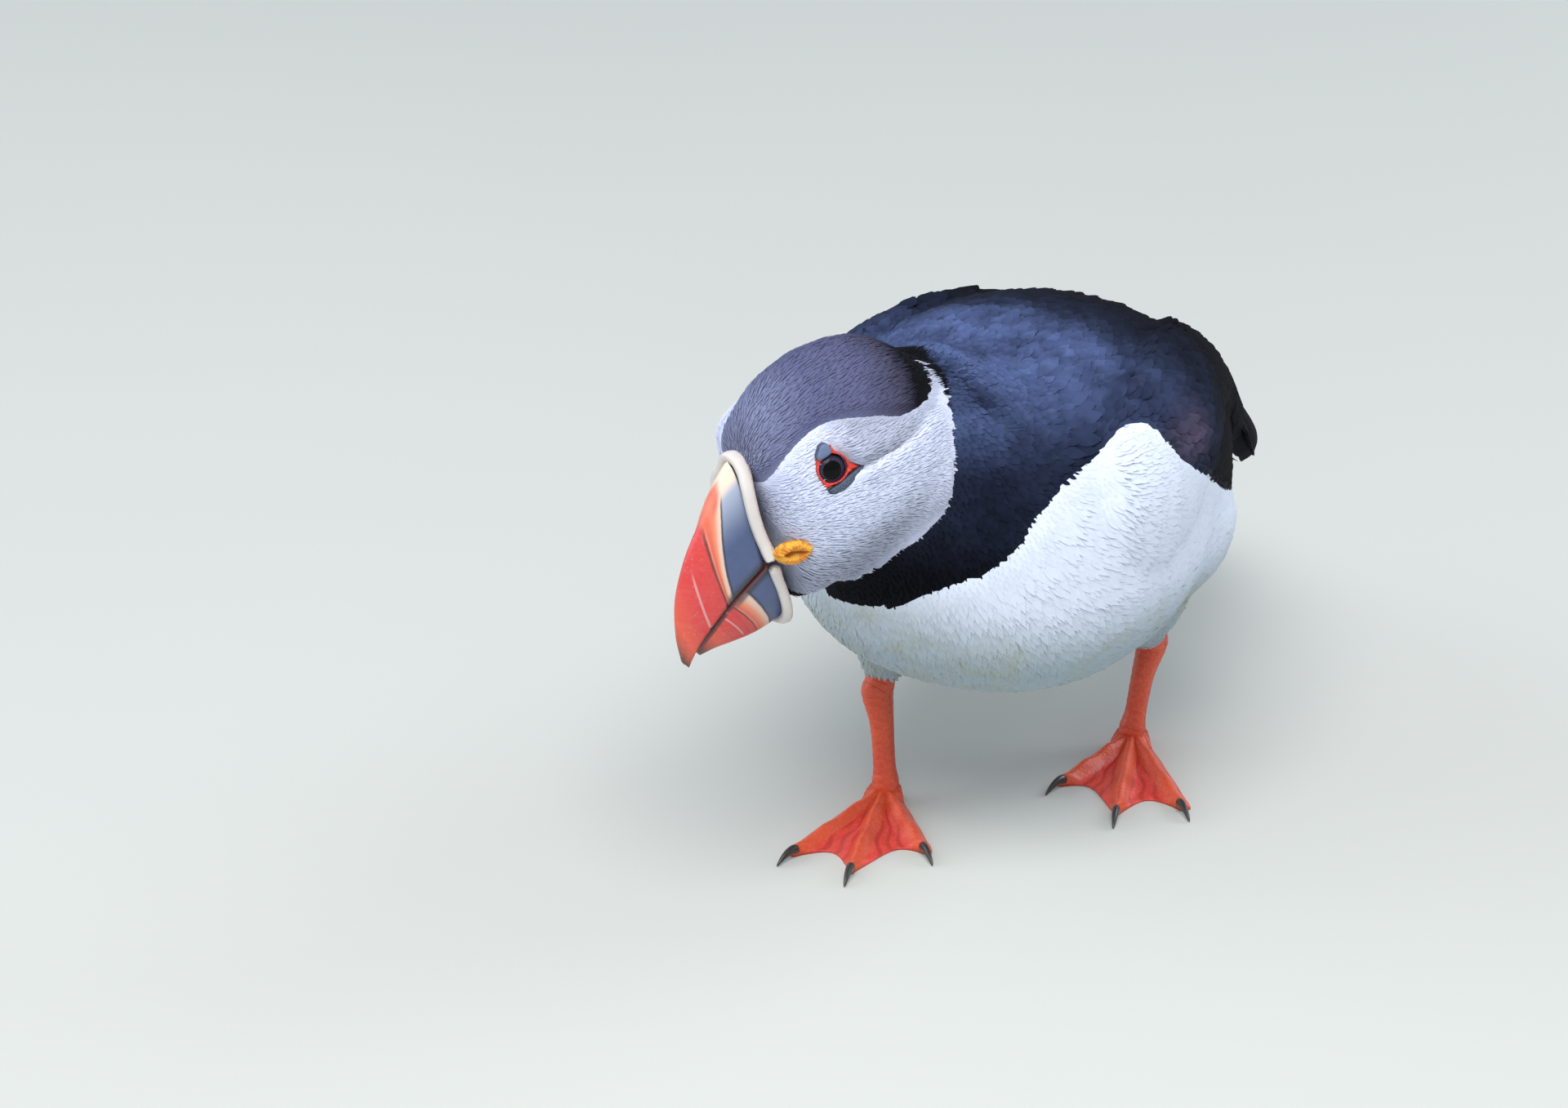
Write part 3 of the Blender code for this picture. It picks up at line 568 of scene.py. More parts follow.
def evened(thing, values, rounds):
    """Values averaged over neighbouring vertices a number of times."""
    pairs = read(thing.data.edges, "vertices", 2, int)
    one, two = pairs.T
    count = np.bincount(pairs.ravel(), minlength=len(values))[:, None]
    for _ in range(rounds):
        total = np.zeros_like(values)
        for axis in range(values.shape[1]):
            total[:, axis] = (np.bincount(one, values[two, axis], len(values))
                              + np.bincount(two, values[one, axis], len(values)))
        values = (values + total / np.maximum(count, 1)) / 2
    return values


def unwrap(thing):
    """Map of the skin's own shape, in islands."""
    thing.data.uv_layers.new(name="OFBake")
    bpy.ops.object.select_all(action="DESELECT")
    bpy.context.view_layer.objects.active = thing
    thing.select_set(True)
    bpy.ops.object.mode_set(mode="EDIT")
    bpy.ops.mesh.select_all(action="SELECT")
    bpy.ops.uv.smart_project(angle_limit=radians(70), island_margin=0.004)
    bpy.ops.object.mode_set(mode="OBJECT")


def make_skin():
    """Skin of the whole bird, with its folds, its masks and the lie of its coat."""
    skin = whole_skin()
    finer_head(skin)
    points, out = points_of(skin), read(skin.data.vertex_normals, "vector", 3)
    shell = points - out * SWELL
    sunk = folded(shell - out * coat_depth(shell)[:, None], out)
    skin.data.vertices.foreach_set("co", (sunk * MM).ravel())
    skin.data.update()
    out = read(skin.data.vertex_normals, "vector", 3)
    lie = along_skin(evened(skin, lie_of_coat(sunk, out), 12), out)
    attribute(skin, "lie", lie, "FLOAT_VECTOR")
    for name, values in markings(sunk).items():
        attribute(skin, name, values)
    unwrap(skin)
    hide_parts(*FLESH)
    return skin


# ---- materials ----------------------------------------------------------------------

class Wire:
    """Value in a node tree that adds and multiplies like a number."""

    def __init__(self, graph, socket):
        self.graph, self.socket = graph, socket

    def __add__(self, other):
        return self.graph.math("ADD", self, other)

    def __sub__(self, other):
        return self.graph.math("SUBTRACT", self, other)

    def __rsub__(self, other):
        return self.graph.math("SUBTRACT", other, self)

    def __mul__(self, other):
        return self.graph.math("MULTIPLY", self, other)

    def __truediv__(self, other):
        return self.graph.math("DIVIDE", self, other)

    def __rtruediv__(self, other):
        return self.graph.math("DIVIDE", other, self)

    def __abs__(self):
        return self.graph.math("ABSOLUTE", self)

    def step(self, low, high, start=0.0, end=1.0):
        """Smooth step from start at low to end at high."""
        return self.graph.wire("ShaderNodeMapRange",
                               {0: self, 1: low, 2: high, 3: start, 4: end},
                               interpolation_type="SMOOTHSTEP")


class Graph:
    """Short way to add and join nodes in a shader or geometry tree."""

    def __init__(self, tree):
        self.tree = tree

    def node(self, kind, inputs=None, **settings):
        made = self.tree.nodes.new(kind)
        for key, value in settings.items():
            setattr(made, key, value)
        for key, value in (inputs or {}).items():
            self.feed(made.inputs[key], value)
        return made

    def wire(self, kind, inputs=None, output=0, **settings):
        """One output of a new node."""
        return Wire(self, self.node(kind, inputs, **settings).outputs[output])

    def feed(self, socket, value):
        value = getattr(value, "socket", value)
        if isinstance(value, bpy.types.NodeSocket):
            self.tree.links.new(value, socket)
        else:
            socket.default_value = (*value, 1.0) if socket.type == "RGBA" else value

    def use(self, tree, **inputs):
        """Named outputs of a node group."""
        named = {key.replace("_", " "): value for key, value in inputs.items()}
        made = self.node("ShaderNodeGroup", named, node_tree=tree)
        return {socket.name: Wire(self, socket) for socket in made.outputs}

    def give(self, **wires):
        """Feed the named outputs of this group."""
        outputs = self.node("NodeGroupOutput").inputs
        for name, wire in wires.items():
            self.feed(outputs[name], wire)
        return self.tree

    def math(self, operation, one, two=0.0):
        return self.wire("ShaderNodeMath", {0: one, 1: two}, operation=operation)

    def mix(self, share, one, two, blend="MIX"):
        return self.wire("ShaderNodeMix", {0: share, 6: one, 7: two}, 2, data_type="RGBA",
                         blend_type=blend)

    def shaded(self, colour, level):
        """Colour multiplied by a level."""
        grey = self.wire("ShaderNodeCombineColor", {0: level, 1: level, 2: level})
        return self.mix(1.0, colour, grey, "MULTIPLY")

    def place(self):
        return self.wire("ShaderNodeTexCoord", output="Object")

    def noise(self, scale, detail=3.0, rough=0.6, at=None):
        return self.wire("ShaderNodeTexNoise", {"Vector": at or self.place(), "Scale": scale,
                                                "Detail": detail, "Roughness": rough})

    def cells(self, scale, at=None):
        """Distance to the nearest of many scattered points."""
        return self.wire("ShaderNodeTexVoronoi", {"Vector": at or self.place(), "Scale": scale},
                         "Distance")

    def value(self, name, output="Fac"):
        """A named attribute of the mesh, as a number or as a vector."""
        return self.wire("ShaderNodeAttribute", output=output, attribute_name=name)

    def stops(self, value, colours):
        """Colour ramp from (place, colour) pairs."""
        made = self.node("ShaderNodeValToRGB", {0: value})
        stops = made.color_ramp.elements
        while len(stops) < len(colours):
            stops.new(0.5)
        for stop, (at, colour) in zip(stops, colours):
            stop.position = at
            stop.color = (*colour, 1.0)
        return Wire(self, made.outputs[0])

    def finish(self, colour, rough, height=None, distance=0.1, strength=0.6):
        """Feed the shader and give the material; the bump's distance is in millimetres."""
        self.feed(self.shader["Base Color"], colour)
        self.feed(self.shader["Roughness"], rough)
        if height:
            self.feed(self.shader["Normal"],
                      self.wire("ShaderNodeBump", {"Height": height, "Distance": distance * MM,
                                                   "Strength": strength}))
        return self.material


def group(name, inputs, outputs, kind="ShaderNodeTree"):
    """Graph of an empty node group with named sockets, and what it is given by name."""
    tree = bpy.data.node_groups.new(name, kind)
    for label, socket_type, default in inputs:
        socket = tree.interface.new_socket(label, in_out="INPUT", socket_type=socket_type)
        if default is not None:
            socket.default_value = default
    for label, socket_type in outputs.items():
        tree.interface.new_socket(label, in_out="OUTPUT", socket_type=socket_type)
    graph = Graph(tree)
    given = graph.node("NodeGroupInput").outputs
    return graph, {socket.name: Wire(graph, socket) for socket in given}


def surface(name, flesh=None, **fixed):
    """Graph of a new material; flesh is (weight, scale, radius) of the light that sinks in."""
    material = bpy.data.materials.new(name)
    material.use_nodes = True
    graph = Graph(material.node_tree)
    graph.material = material
    graph.shader = graph.tree.nodes["Principled BSDF"].inputs
    if flesh:
        fixed.update(zip(("Subsurface_Weight", "Subsurface_Scale", "Subsurface_Radius"), flesh))
    for key, value in fixed.items():
        graph.shader[key.replace("_", " ")].default_value = value
    return graph


FLOAT = "NodeSocketFloat"
BORDER = (0.42, 0.58)           # limits of a mask's edge

WHITE = (0.68, 0.745, 0.87)
SOILED = (0.36, 0.39, 0.25)
# painted shade: the belly's grey towards the bottom
BELLY_PAINTED_SHADE = (0.36, 0.45, 0.53)
FACE = (0.71, 0.76, 0.94)
FACE_SHADED = (0.33, 0.36, 0.47)
# painted shade in the furrow's crease
FURROW_SHADE = (0.05, 0.05, 0.07)
BLACK = (0.003, 0.0035, 0.006)
# painted reflection of the sky on the black back
SKY_REFLECTION_BLUE = (0.080, 0.116, 0.262)
# painted sheen on the wing
LILAC_PAINTED_SHEEN = (0.085, 0.070, 0.120)
CROWN = ((0.02, (0.50, 0.52, 0.62)), (0.06, (0.195, 0.215, 0.36)), (0.28, (0.110, 0.122, 0.236)),
         (0.55, (0.100, 0.106, 0.205)), (0.76, (0.055, 0.055, 0.098)),
         (0.90, (0.004, 0.004, 0.006)))


def plumage_markings():
    """Colour and roughness of the plumage from the masks on the mesh."""
    graph, given = group("Plumage markings",
                         (("Tone spread", FLOAT, 0.3), ("Mottling", FLOAT, 0.2)),
                         {"Colour": "NodeSocketColor", "Roughness": FLOAT})
    mask, mix = graph.value, graph.mix
    cloud = graph.noise(90.0, 4.0)
    patch = graph.noise(55.0, 7.0, 0.72).step(0.46, 0.80)
    # painted shade greys the belly towards the bottom; the patches after it are real soiling
    colour = mix(mask("soil"), WHITE, BELLY_PAINTED_SHADE)
    colour = mix(mask("soil") * (patch + 0.12), colour, SOILED)
    colour = mix(mask("face").step(*BORDER), colour, mix(mask("shade"), FACE, FACE_SHADED))
    # painted shade in the furrow's crease
    colour = mix(mask("furrow"), colour, FURROW_SHADE)
    # painted reflection of the sky: the black plumage turns blue where the sheen mask is, mottled
    dark = mix(mask("sheen") * cloud.step(0.30, 0.62, 0.55, 1.0), BLACK, SKY_REFLECTION_BLUE)
    # painted sheen: the lilac patch on the wing
    dark = mix(mask("lilac"), dark, LILAC_PAINTED_SHEEN)
    colour = mix(mask("dark").step(*BORDER), colour, dark)
    colour = mix(mask("crown").step(*BORDER), colour, graph.stops(mask("fade"), CROWN))
    tone = (mask("tone") - 0.5) * given["Tone spread"]
    blot = (cloud - 0.5) * given["Mottling"]
    worn = graph.math("MAXIMUM", mask("dark"), mask("crown"))
    return graph.give(Colour=graph.shaded(colour, tone + blot + 1.0),
                      Roughness=worn.step(0.0, 1.0, 0.85, 0.72))


def vane_barbs():
    """Slanting barbs, shaft and a soft painted shade at the root of a vane, from its own map."""
    graph, given = group("Vane barbs",
                         (("Barbs", FLOAT, 24.0), ("Slant", FLOAT, 5.0), ("Shaft", FLOAT, 0.03)),
                         {"Streak": FLOAT, "Rachis": FLOAT, "Root": FLOAT, "Aside": FLOAT})
    split = graph.node("ShaderNodeSeparateXYZ", {0: graph.value("vane_uv", "Vector")}).outputs
    across, along = Wire(graph, split[0]), Wire(graph, split[1])
    aside = abs(across - 0.5)
    turn = along * given["Barbs"] - aside * given["Slant"]
    return graph.give(Streak=graph.math("SINE", turn * (2.0 * pi)) * 0.5 + 0.5,
                      Rachis=aside.step(given["Shaft"], 0.0), Root=along.step(0.55, 0.0),
                      Aside=aside)


MARKINGS = plumage_markings()
BARBS = vane_barbs()


def plumage(name, spread, mottling, barbs=None, streak=0.0, root=0.0, sheen=0.0, gloss=0.06):
    """Plumage finish: the markings, shaded by each vane's barbs and darker at its root, a painted
    shade where the feathers overlap.
    """
    graph = surface(name, Sheen_Weight=sheen, Sheen_Roughness=0.45,
                    Sheen_Tint=(0.70, 0.78, 1.0, 1.0), Specular_IOR_Level=gloss)
    marks = graph.use(MARKINGS, Tone_spread=spread, Mottling=mottling)
    if not barbs:
        fuzz = graph.noise(2600.0, 2.0)
        return graph.finish(marks["Colour"], marks["Roughness"], fuzz, 0.08, 0.5)
    lines = graph.use(BARBS, Barbs=barbs)
    # painted shade at each vane's root, where the feathers overlap
    level = 1.0 - (lines["Streak"] * streak + lines["Root"] * root)
    colour = graph.shaded(marks["Colour"], level)
    return graph.finish(colour, marks["Roughness"], lines["Streak"], 0.05, 0.5)


# ---- coats --------------------------------------------------------------------------

# name, length, width, rows, columns, camber, curl, notches, rounding and width of the tip
PLUMES = {
    "down": (("down_straight", 2.6, 0.50, 3, 2, 0.25, 0.10, 0.0, 0.1, 0.12),
             ("down_bent", 2.1, 0.42, 3, 2, 0.25, 0.25, 0.0, 0.1, 0.12)),
    "contour": (("contour_wide", 7.0, 3.9, 4, 6, 0.10, 0.05, 0.05, 0.18, 0.50),
                ("contour_narrow", 6.4, 3.2, 4, 6, 0.10, 0.07, 0.07, 0.20, 0.45)),
    "soft": (("soft_wide", 5.2, 2.2, 4, 4, 0.03, 0.02, 0.05, 0.2, 0.40),
             ("soft_narrow", 5.4, 1.6, 4, 2, 0.03, 0.02, 0.06, 0.2, 0.32)),
}
# name, plumes, look, softness of the shading, spacing, size, lift, untidiness, seed; coats
# that overlap need seeds of their own, or their feathers coincide
COATS = (
    ("face_coat", "down", "face", 0.6, 0.42, 1.0, 0.16, 0.14, 3),
    ("crown_coat", "down", "face", 0.6, 0.42, 1.05, 0.16, 0.14, 5),
    ("collar_coat", "contour", "black", 0.6, 1.0, 0.62, 0.07, 0.10, 7),
    ("back_coat", "contour", "black", 0.65, 1.65, 1.0, 0.065, 0.08, 9),
    ("white_coat_left", "soft", "white", 0.92, 0.96, 1.0, 0.004, 0.10, 12),
    ("white_coat_right", "soft", "white", 0.92, 0.96, 1.0, 0.004, 0.10, 10),
    ("leg_coat", "soft", "white", 0.7, 1.0, 0.8, 0.10, 0.16, 13),
)


def vane(name, length, width, rows, columns, camber, curl, jag, round_tip, tip_width):
    """One small feather along +Y from its root at the origin, with its own map."""
    spots, uvs = [], []
    for row in range(rows + 1):
        v = row / rows
        swell = sin(pi * min(0.10 + 0.62 * v, 1.0)) ** 0.8
        half = width / 2 * (swell * (1 - v ** 3) + tip_width * v ** 3)
        for column in range(columns + 1):
            u = 2.0 * column / columns - 1.0
            notch = jag * (column % 2) * max(v - 0.6, 0.0) / 0.4
            y = length * (v - round_tip * u * u * v * v - notch)
            z = camber * half * (1 - u * u) + curl * length * v * (v - 1.0) * -1.0
            spots.append((u * half, y, z))
            uvs.append(((u + 1) / 2, v))
    data = bpy.data.meshes.new(name)
    data.from_pydata((np.array(spots) * MM).tolist(), [], grid(rows + 1, columns + 1))
    data.shade_smooth()
    plume = bpy.data.objects.new(name, data)
    corner = read(data.loops, "vertex_index", 1, int)
    attribute(plume, "vane_uv", np.array(uvs)[corner], "FLOAT2", "CORNER")
    return plume


def plume_set(name, *plumes):
    """Collection of feather shapes that a coat picks from."""
    made = bpy.data.collections.new(name)
    for shape in plumes:
        made.objects.link(vane(*shape))
    return made


def coat_tree():
    """Geometry nodes that scatter feathers over the skin, each along the lie of the coat."""
    graph, given = group(
        "Feathers over skin",
        (("Skin", "NodeSocketGeometry", None), ("Plumes", "NodeSocketCollection", None),
         ("Where", "NodeSocketString", "face"), ("Spacing", FLOAT, 0.001), ("Size", FLOAT, 1.0),
         ("Lift", FLOAT, 0.1), ("Untidy", FLOAT, 0.1), ("Seed", "NodeSocketInt", 1),
         ("Finish", "NodeSocketMaterial", None)),
        {"Coat": "NodeSocketGeometry"}, "GeometryNodeTree")
    graph.tree.is_modifier = True
    loose = given["Untidy"]

    def named(name, kind="FLOAT"):
        return graph.wire("GeometryNodeInputNamedAttribute", {"Name": name}, "Attribute",
                          data_type=kind)

    def stored(geometry, name, value, kind="FLOAT", domain="POINT"):
        return graph.wire("GeometryNodeStoreNamedAttribute",
                          {"Geometry": geometry, "Name": name, "Value": value},
                          data_type=kind, domain=domain)

    def random(low, high, seed):
        return graph.wire("FunctionNodeRandomValue",
                          {2: low, 3: high, "Seed": given["Seed"] + seed}, 1, data_type="FLOAT")

    spread = graph.node("GeometryNodeDistributePointsOnFaces",
                        {"Mesh": given["Skin"], "Distance Min": given["Spacing"],
                         "Density Max": 2.2 / (given["Spacing"] * given["Spacing"]),
                         "Density Factor": named(given["Where"]), "Seed": given["Seed"]},
                        distribute_method="POISSON").outputs
    turned = graph.wire("FunctionNodeAxesToRotation",
                        {"Primary Axis": spread["Normal"],
                         "Secondary Axis": named("lie", "FLOAT_VECTOR")},
                        primary_axis="Z", secondary_axis="Y")
    rise, roll, swing = (random(loose * -1.0, loose, seed) for seed in (11, 12, 13))
    tilt = graph.wire("ShaderNodeCombineXYZ",
                      {0: given["Lift"] + rise * 0.25, 1: roll * 0.5, 2: swing})
    tilt = graph.wire("FunctionNodeEulerToRotation", {0: tilt})
    turned = graph.wire("FunctionNodeRotateRotation", {"Rotation": turned, "Rotate By": tilt},
                        rotation_space="LOCAL")
    roots = stored(spread["Points"], "tone", random(0.0, 1.0, 15))
    roots = stored(roots, "skin_out", spread["Normal"], "FLOAT_VECTOR")
    shapes = graph.wire("GeometryNodeCollectionInfo",
                        {"Collection": given["Plumes"], "Separate Children": True,
                         "Reset Children": True})
    laid = graph.wire("GeometryNodeInstanceOnPoints",
                      {"Points": roots, "Instance": shapes, "Pick Instance": True,
                       "Rotation": turned,
                       "Scale": given["Size"] * named("size") * random(0.82, 1.18, 14)})
    real = graph.wire("GeometryNodeRealizeInstances", {"Geometry": laid})
    patch = graph.wire("ShaderNodeVectorMath",
                       {0: named("vane_uv", "FLOAT_VECTOR"), 3: BAKE_PATCH}, operation="SCALE")
    patch = graph.wire("ShaderNodeVectorMath",
                       {0: named("OFBake", "FLOAT_VECTOR"), 1: patch}, operation="ADD")
    mapped = stored(real, "bake_at", patch, "FLOAT2", "CORNER")
    return graph.give(Coat=graph.wire("GeometryNodeSetMaterial",
                                      {"Geometry": mapped, "Material": given["Finish"]}))


def drop(data, name):
    """Remove an attribute that a mesh may have."""
    if name in data.attributes:
        data.attributes.remove(data.attributes[name])


def own_map(data):
    """Keep one map on a coat's mesh, named OFBake, from its stored places."""
    values = read(data.attributes["bake_at"].data, "vector", 2, np.float32)
    drop(data, "bake_at")
    drop(data, "OFBake")
    data.uv_layers.new(name="OFBake").data.foreach_set("uv", values.ravel())


def soften_shading(data, softness):
    """Turn each feather's shading normals part of the way to the skin's under it."""
    under = read(data.attributes["skin_out"].data, "vector", 3, np.float32)
    own = read(data.vertex_normals, "vector", 3, np.float32)
    own = own * np.where((own * under).sum(1) < 0.0, -1.0, 1.0)[:, None]
    mixed = units(under * softness + own * (1.0 - softness))
    data.normals_split_custom_set_from_vertices(mixed.tolist())


def coat(name, skin, tree, plumes, finish, slot, softness, **inputs):
    """One coat of feathers over the skin where its mask of that name is, as a plain mesh."""
    thing = shown(name, skin.data)
    modifier = thing.modifiers.new("feathers", "NODES")
    modifier.node_group = tree
    keys = {item.name: item.identifier for item in tree.interface.items_tree
            if item.in_out == "INPUT"}
    for label, value in dict(inputs, Where=name, Plumes=plumes, Finish=finish).items():
        modifier[keys[label]] = value
    settle(thing)
    thing.data.name = name
    own_map(thing.data)
    soften_shading(thing.data, softness)
    for spare in ("lie", "size", "normal", "skin_out"):
        drop(thing.data, spare)


def coat_masks(skin):
    """Which points of the skin each coat covers; also stores the feathers' size there."""
    points = points_of(skin)
    head, trunk = seen_from(HEAD, points), seen_from(TRUNK, points)
    masks = markings(points)
    white_face = masks["face"] > 0.5
    corner = np.linalg.norm((head[:, ::2] - ROSETTE_AT[::2]) / (3.8, 2.8), axis=1)
    open_skin = (bare_round_eyes(points) > 0.3) & (corner > 0.95) & (head[:, 0] < 18.8)
    crown = (masks["crown"] > 0.45) & (masks["face"] < 0.6) & (head[:, 2] > -6.0)
    face = white_face & open_skin & ~crown
    legs = points[:, 2] < 42.0
    quills = quill_region(trunk)
    near = np.linalg.norm(points - HEAD[:3, 3], axis=1)
    dark = (masks["dark"] > 0.5) & ~crown & (masks["face"] < 0.5)
    light = ~dark & ~crown & ~legs & open_skin & (masks["face"] < 0.5)
    light &= ~quills & (trunk[:, 0] > -90.0)
    light &= (trunk[:, 0] > -70.0) | ((trunk[:, 2] < -13.0) & (abs(trunk[:, 1]) < 14.0))
    collar = dark & (near < 60.0) & open_skin
    size = 0.62 + 0.38 * ramp(near, 30.0, 75.0)
    size = np.where(light, size * (1.0 - 0.24 * ramp(trunk[:, 2], -8.0, 6.0)), size)
    size = np.where(face | crown, 1.0, np.where(legs, 0.6, size))
    borders = np.abs(evened(skin, masks["dark"][:, None], 60)[:, 0] - 0.5)
    small = np.where(face, 0.30, 0.26)
    attribute(skin, "size", size * (small + (1.0 - small) * ramp(borders, 0.0, 0.49)))
    return {"face_coat": face, "crown_coat": crown, "collar_coat": collar,
            "back_coat": dark & ~collar & ~quills,
            "white_coat_left": light & (trunk[:, 1] > -0.7),
            "white_coat_right": light & (trunk[:, 1] < 0.7),
            "leg_coat": legs & (points[:, 2] > 26.5)}


def dress(skin):
    """The skin's own finish and every coat over it."""
    masks = coat_masks(skin)
    attribute(skin, "tone", np.full(len(skin.data.vertices), 0.5))
    for name, mask in masks.items():
        attribute(skin, name, mask.astype(float))
    skin.data.materials.clear()
    skin.data.materials.append(plumage("skin_plumage", 0.0, 0.2))
    tree = coat_tree()
    plumes = {name: plume_set(name + "_plumes", *shapes) for name, shapes in PLUMES.items()}
    finishes = {
        "face": plumage("face_plumage_finish", 0.16, 0.10, sheen=0.02, gloss=0.05),
        "black": plumage("dark_plumage_finish", 0.32, 0.18, 14.0, 0.22, 0.25, 0.0, 0.03),
        "white": plumage("white_plumage_finish", 0.04, 0.05, 14.0, 0.03, 0.03, 0.06)}
    for name, shape, look, softness, spacing, size, lift, untidy, seed in COATS:
        coat(name, skin, tree, plumes[shape], finishes[look], look + "_plumage", softness,
             Spacing=spacing * MM, Size=size, Lift=lift, Untidy=untidy, Seed=seed)
    for some in plumes.values():
        for plume in list(some.objects):
            bpy.data.objects.remove(plume)
        bpy.data.collections.remove(some)


def quill_region(trunk):
    """Mask of the rear of the folded wings, which quills cover."""
    forward, left, rise = trunk.T
    lower = np.interp(-forward, (44.0, 62.0, 78.0, 92.0, 104.0), (14.5, 1.0, -6.5, -10.5, -13.0))
    return (forward < -46.0) & (abs(left) > 13.0) & (rise > lower)


# ---- wing quills and tail -----------------------------------------------------------

TRUNK_POWER = 2.3
WING_BED = (
    # forward, half width and height of the bed, upper and lower edge (degrees from the
    # back's middle), thickness, drop of the rear end
    (43.0, 41.9, 36.2, 66.0, 80.0, 1.0, 0.0), (26.0, 46.8, 43.4, 40.0, 94.0, 3.6, 0.0),
    (2.0, 47.6, 44.8, 34.0, 84.0, 3.6, 0.0), (-22.0, 43.6, 42.6, 29.0, 68.0, 3.2, 0.0),
    (-44.0, 38.0, 34.6, 26.0, 68.0, 3.0, 0.4), (-62.0, 33.0, 21.0, 24.0, 84.0, 2.8, 2.0),
    (-78.0, 29.2, 13.2, 20.0, 98.0, 2.6, 5.4), (-92.0, 24.4, 11.4, 26.0, 100.0, 2.0, 9.0),
    (-104.0, 18.4, 9.4, 44.0, 96.0, 1.2, 12.6), (-112.0, 14.5, 7.9, 54.0, 94.0, 0.8, 14.6),
)
QUILLS = 20
COVERTS = 14
COVERT_ROWS = ((-44.0, 18.0, 6.4, 0.75), (-41.0, 13.0, 5.6, 0.85))  # start, length, width, layer
TAIL_LINE = ((70, -2.6), (84, -6.4), (98, -11.2), (111, -15.9), (120, -19.3), (126, -21.6))
BED_STEP = 3.0                  # between the places where the skin's depth is taken
BED_OVER = 8.0                  # how far over the bed that starts
VANE_ROWS = 18
VANE_COLUMNS = 8


def wing_bed(side, forward, across, lift):
    """Points over a folded wing in the trunk frame; across runs from upper to lower edge."""
    bed = through(WING_BED, 8)[::-1]
    width, height, upper, lower, thick, drop = (np.interp(forward, bed[:, 0], bed[:, column])
                                                for column in range(1, 7))
    angle = np.radians(upper + (lower - upper) * across)
    bulge = np.sin(np.clip(0.12 + 0.82 * across, 0.05, 0.97) * pi)
    reach = thick * bulge + lift
    power = 2 / TRUNK_POWER
    left = side * (width + reach) * np.abs(np.sin(angle)) ** power
    rise = np.sign(np.cos(angle)) * np.abs(np.cos(angle)) ** power * (height + reach) - drop
    return np.stack([forward, left, rise], -1)


class WingBed:
    """Depth of the skin under each folded wing, so that the quills lie on it."""

    def __init__(self, skin):
        points = seen_from(TRUNK, points_of(skin))
        tree = BVHTree.FromPolygons([Vector(point) for point in points],
                                    [list(face.vertices) for face in skin.data.polygons])
        self.forward = np.arange(-110.0, -4.0, BED_STEP)
        self.across = np.linspace(-0.1, 1.1, 13)
        self.depth = {}
        for _, side in SIDES:
            spots = np.meshgrid(self.forward, self.across, indexing="ij")
            over, face = wing_bed(side, *spots, BED_OVER), wing_bed(side, *spots, 0.0)
            found = np.full(spots[0].shape, np.nan)
            for index in np.ndindex(found.shape):
                aim = Vector(face[index] - over[index]).normalized()
                far = tree.ray_cast(Vector(over[index]), aim, 20.0)[3]
                if far is not None:
                    found[index] = min(far - BED_OVER, 5.0)
            found[np.isnan(found)] = 2.2
            for _ in range(3):
                padded = np.pad(found, 1, mode="edge")
                found = (padded[1:-1, 1:-1] * 2 + padded[:-2, 1:-1] + padded[2:, 1:-1]
                         + padded[1:-1, :-2] + padded[1:-1, 2:]) / 6
            self.depth[side] = found

    def surface(self, side, forward, across, lift):
        """Points over the skin of a wing by a lift."""
        row = np.clip((forward - self.forward[0]) / BED_STEP, 0, len(self.forward) - 1.001)
        column = np.clip((across + 0.1) / 0.1, 0, len(self.across) - 1.001)
        r, c = row.astype(int), column.astype(int)
        one, two = row - r, column - c
        depth = self.depth[side]
        sink = (depth[r, c] * (1 - one) * (1 - two) + depth[r + 1, c] * one * (1 - two)
                + depth[r, c + 1] * (1 - one) * two + depth[r + 1, c + 1] * one * two)
        return wing_bed(side, forward, across, lift - sink)


def vane_outline(share, blunt):
    """Half width of a long feather along its length, from 0 to 1."""
    grow = 0.45 + 0.55 * ramp(share, 0.0, 0.35)
    close = np.clip((share - blunt) / (1.0 - blunt), 0.0, 1.0)
    return grow * np.sqrt(np.maximum(1.0 - close ** 2.4, 0.0))


def long_vane(spot_at, width, blunt=0.68, camber=0.28, thick=0.22):
    """Closed vane from a surface function of (way along, offset aside in mm, lift)."""
    share, aside = np.meshgrid(np.linspace(0.0, 1.0, VANE_ROWS + 1),
                               np.linspace(-1.0, 1.0, VANE_COLUMNS + 1), indexing="ij")
    half = np.maximum(vane_outline(share, blunt), 0.04) * width / 2
    rounded = share - 0.035 * aside ** 2 * ramp(share, 0.5, 1.0)
    crown = camber * (1.0 - aside ** 2) + 0.10 * bell((aside, 0.0, 0.10))
    thin = thick * (1.0 - 0.75 * aside ** 2)
    sheets = [spot_at(rounded, aside * half, crown + thin * sign).reshape(-1, 3)
              for sign in (0.5, -0.5)]
    uv = np.stack([(aside + 1) / 2, share], -1).reshape(-1, 2)
    faces = two_sheets(VANE_ROWS + 1, VANE_COLUMNS + 1)
    return np.concatenate(sheets), faces, np.concatenate([uv, uv])


def between(root, tip, share):
    """Forward and sideways place at a share of the way from root to tip."""
    return [one + (two - one) * share for one, two in zip(root, tip)]


def wing_vane(bed, side, root, tip, width, layer, blunt):
    """Vane that lies on a folded wing from root to tip, each (forward, across)."""
    def spot_at(share, aside, lift):
        forward, across = between(root, tip, share)
        step = wing_bed(side, forward, across + 0.02, 0.0) - wing_bed(side, forward, across, 0.0)
        scale = np.linalg.norm(step, axis=-1) / 0.02
        settled = -1.0 + (layer + 1.0) * ramp(share, 0.05, 0.45)
        return bed.surface(side, forward, across + aside / scale, lift + settled)

    return long_vane(spot_at, width, blunt)


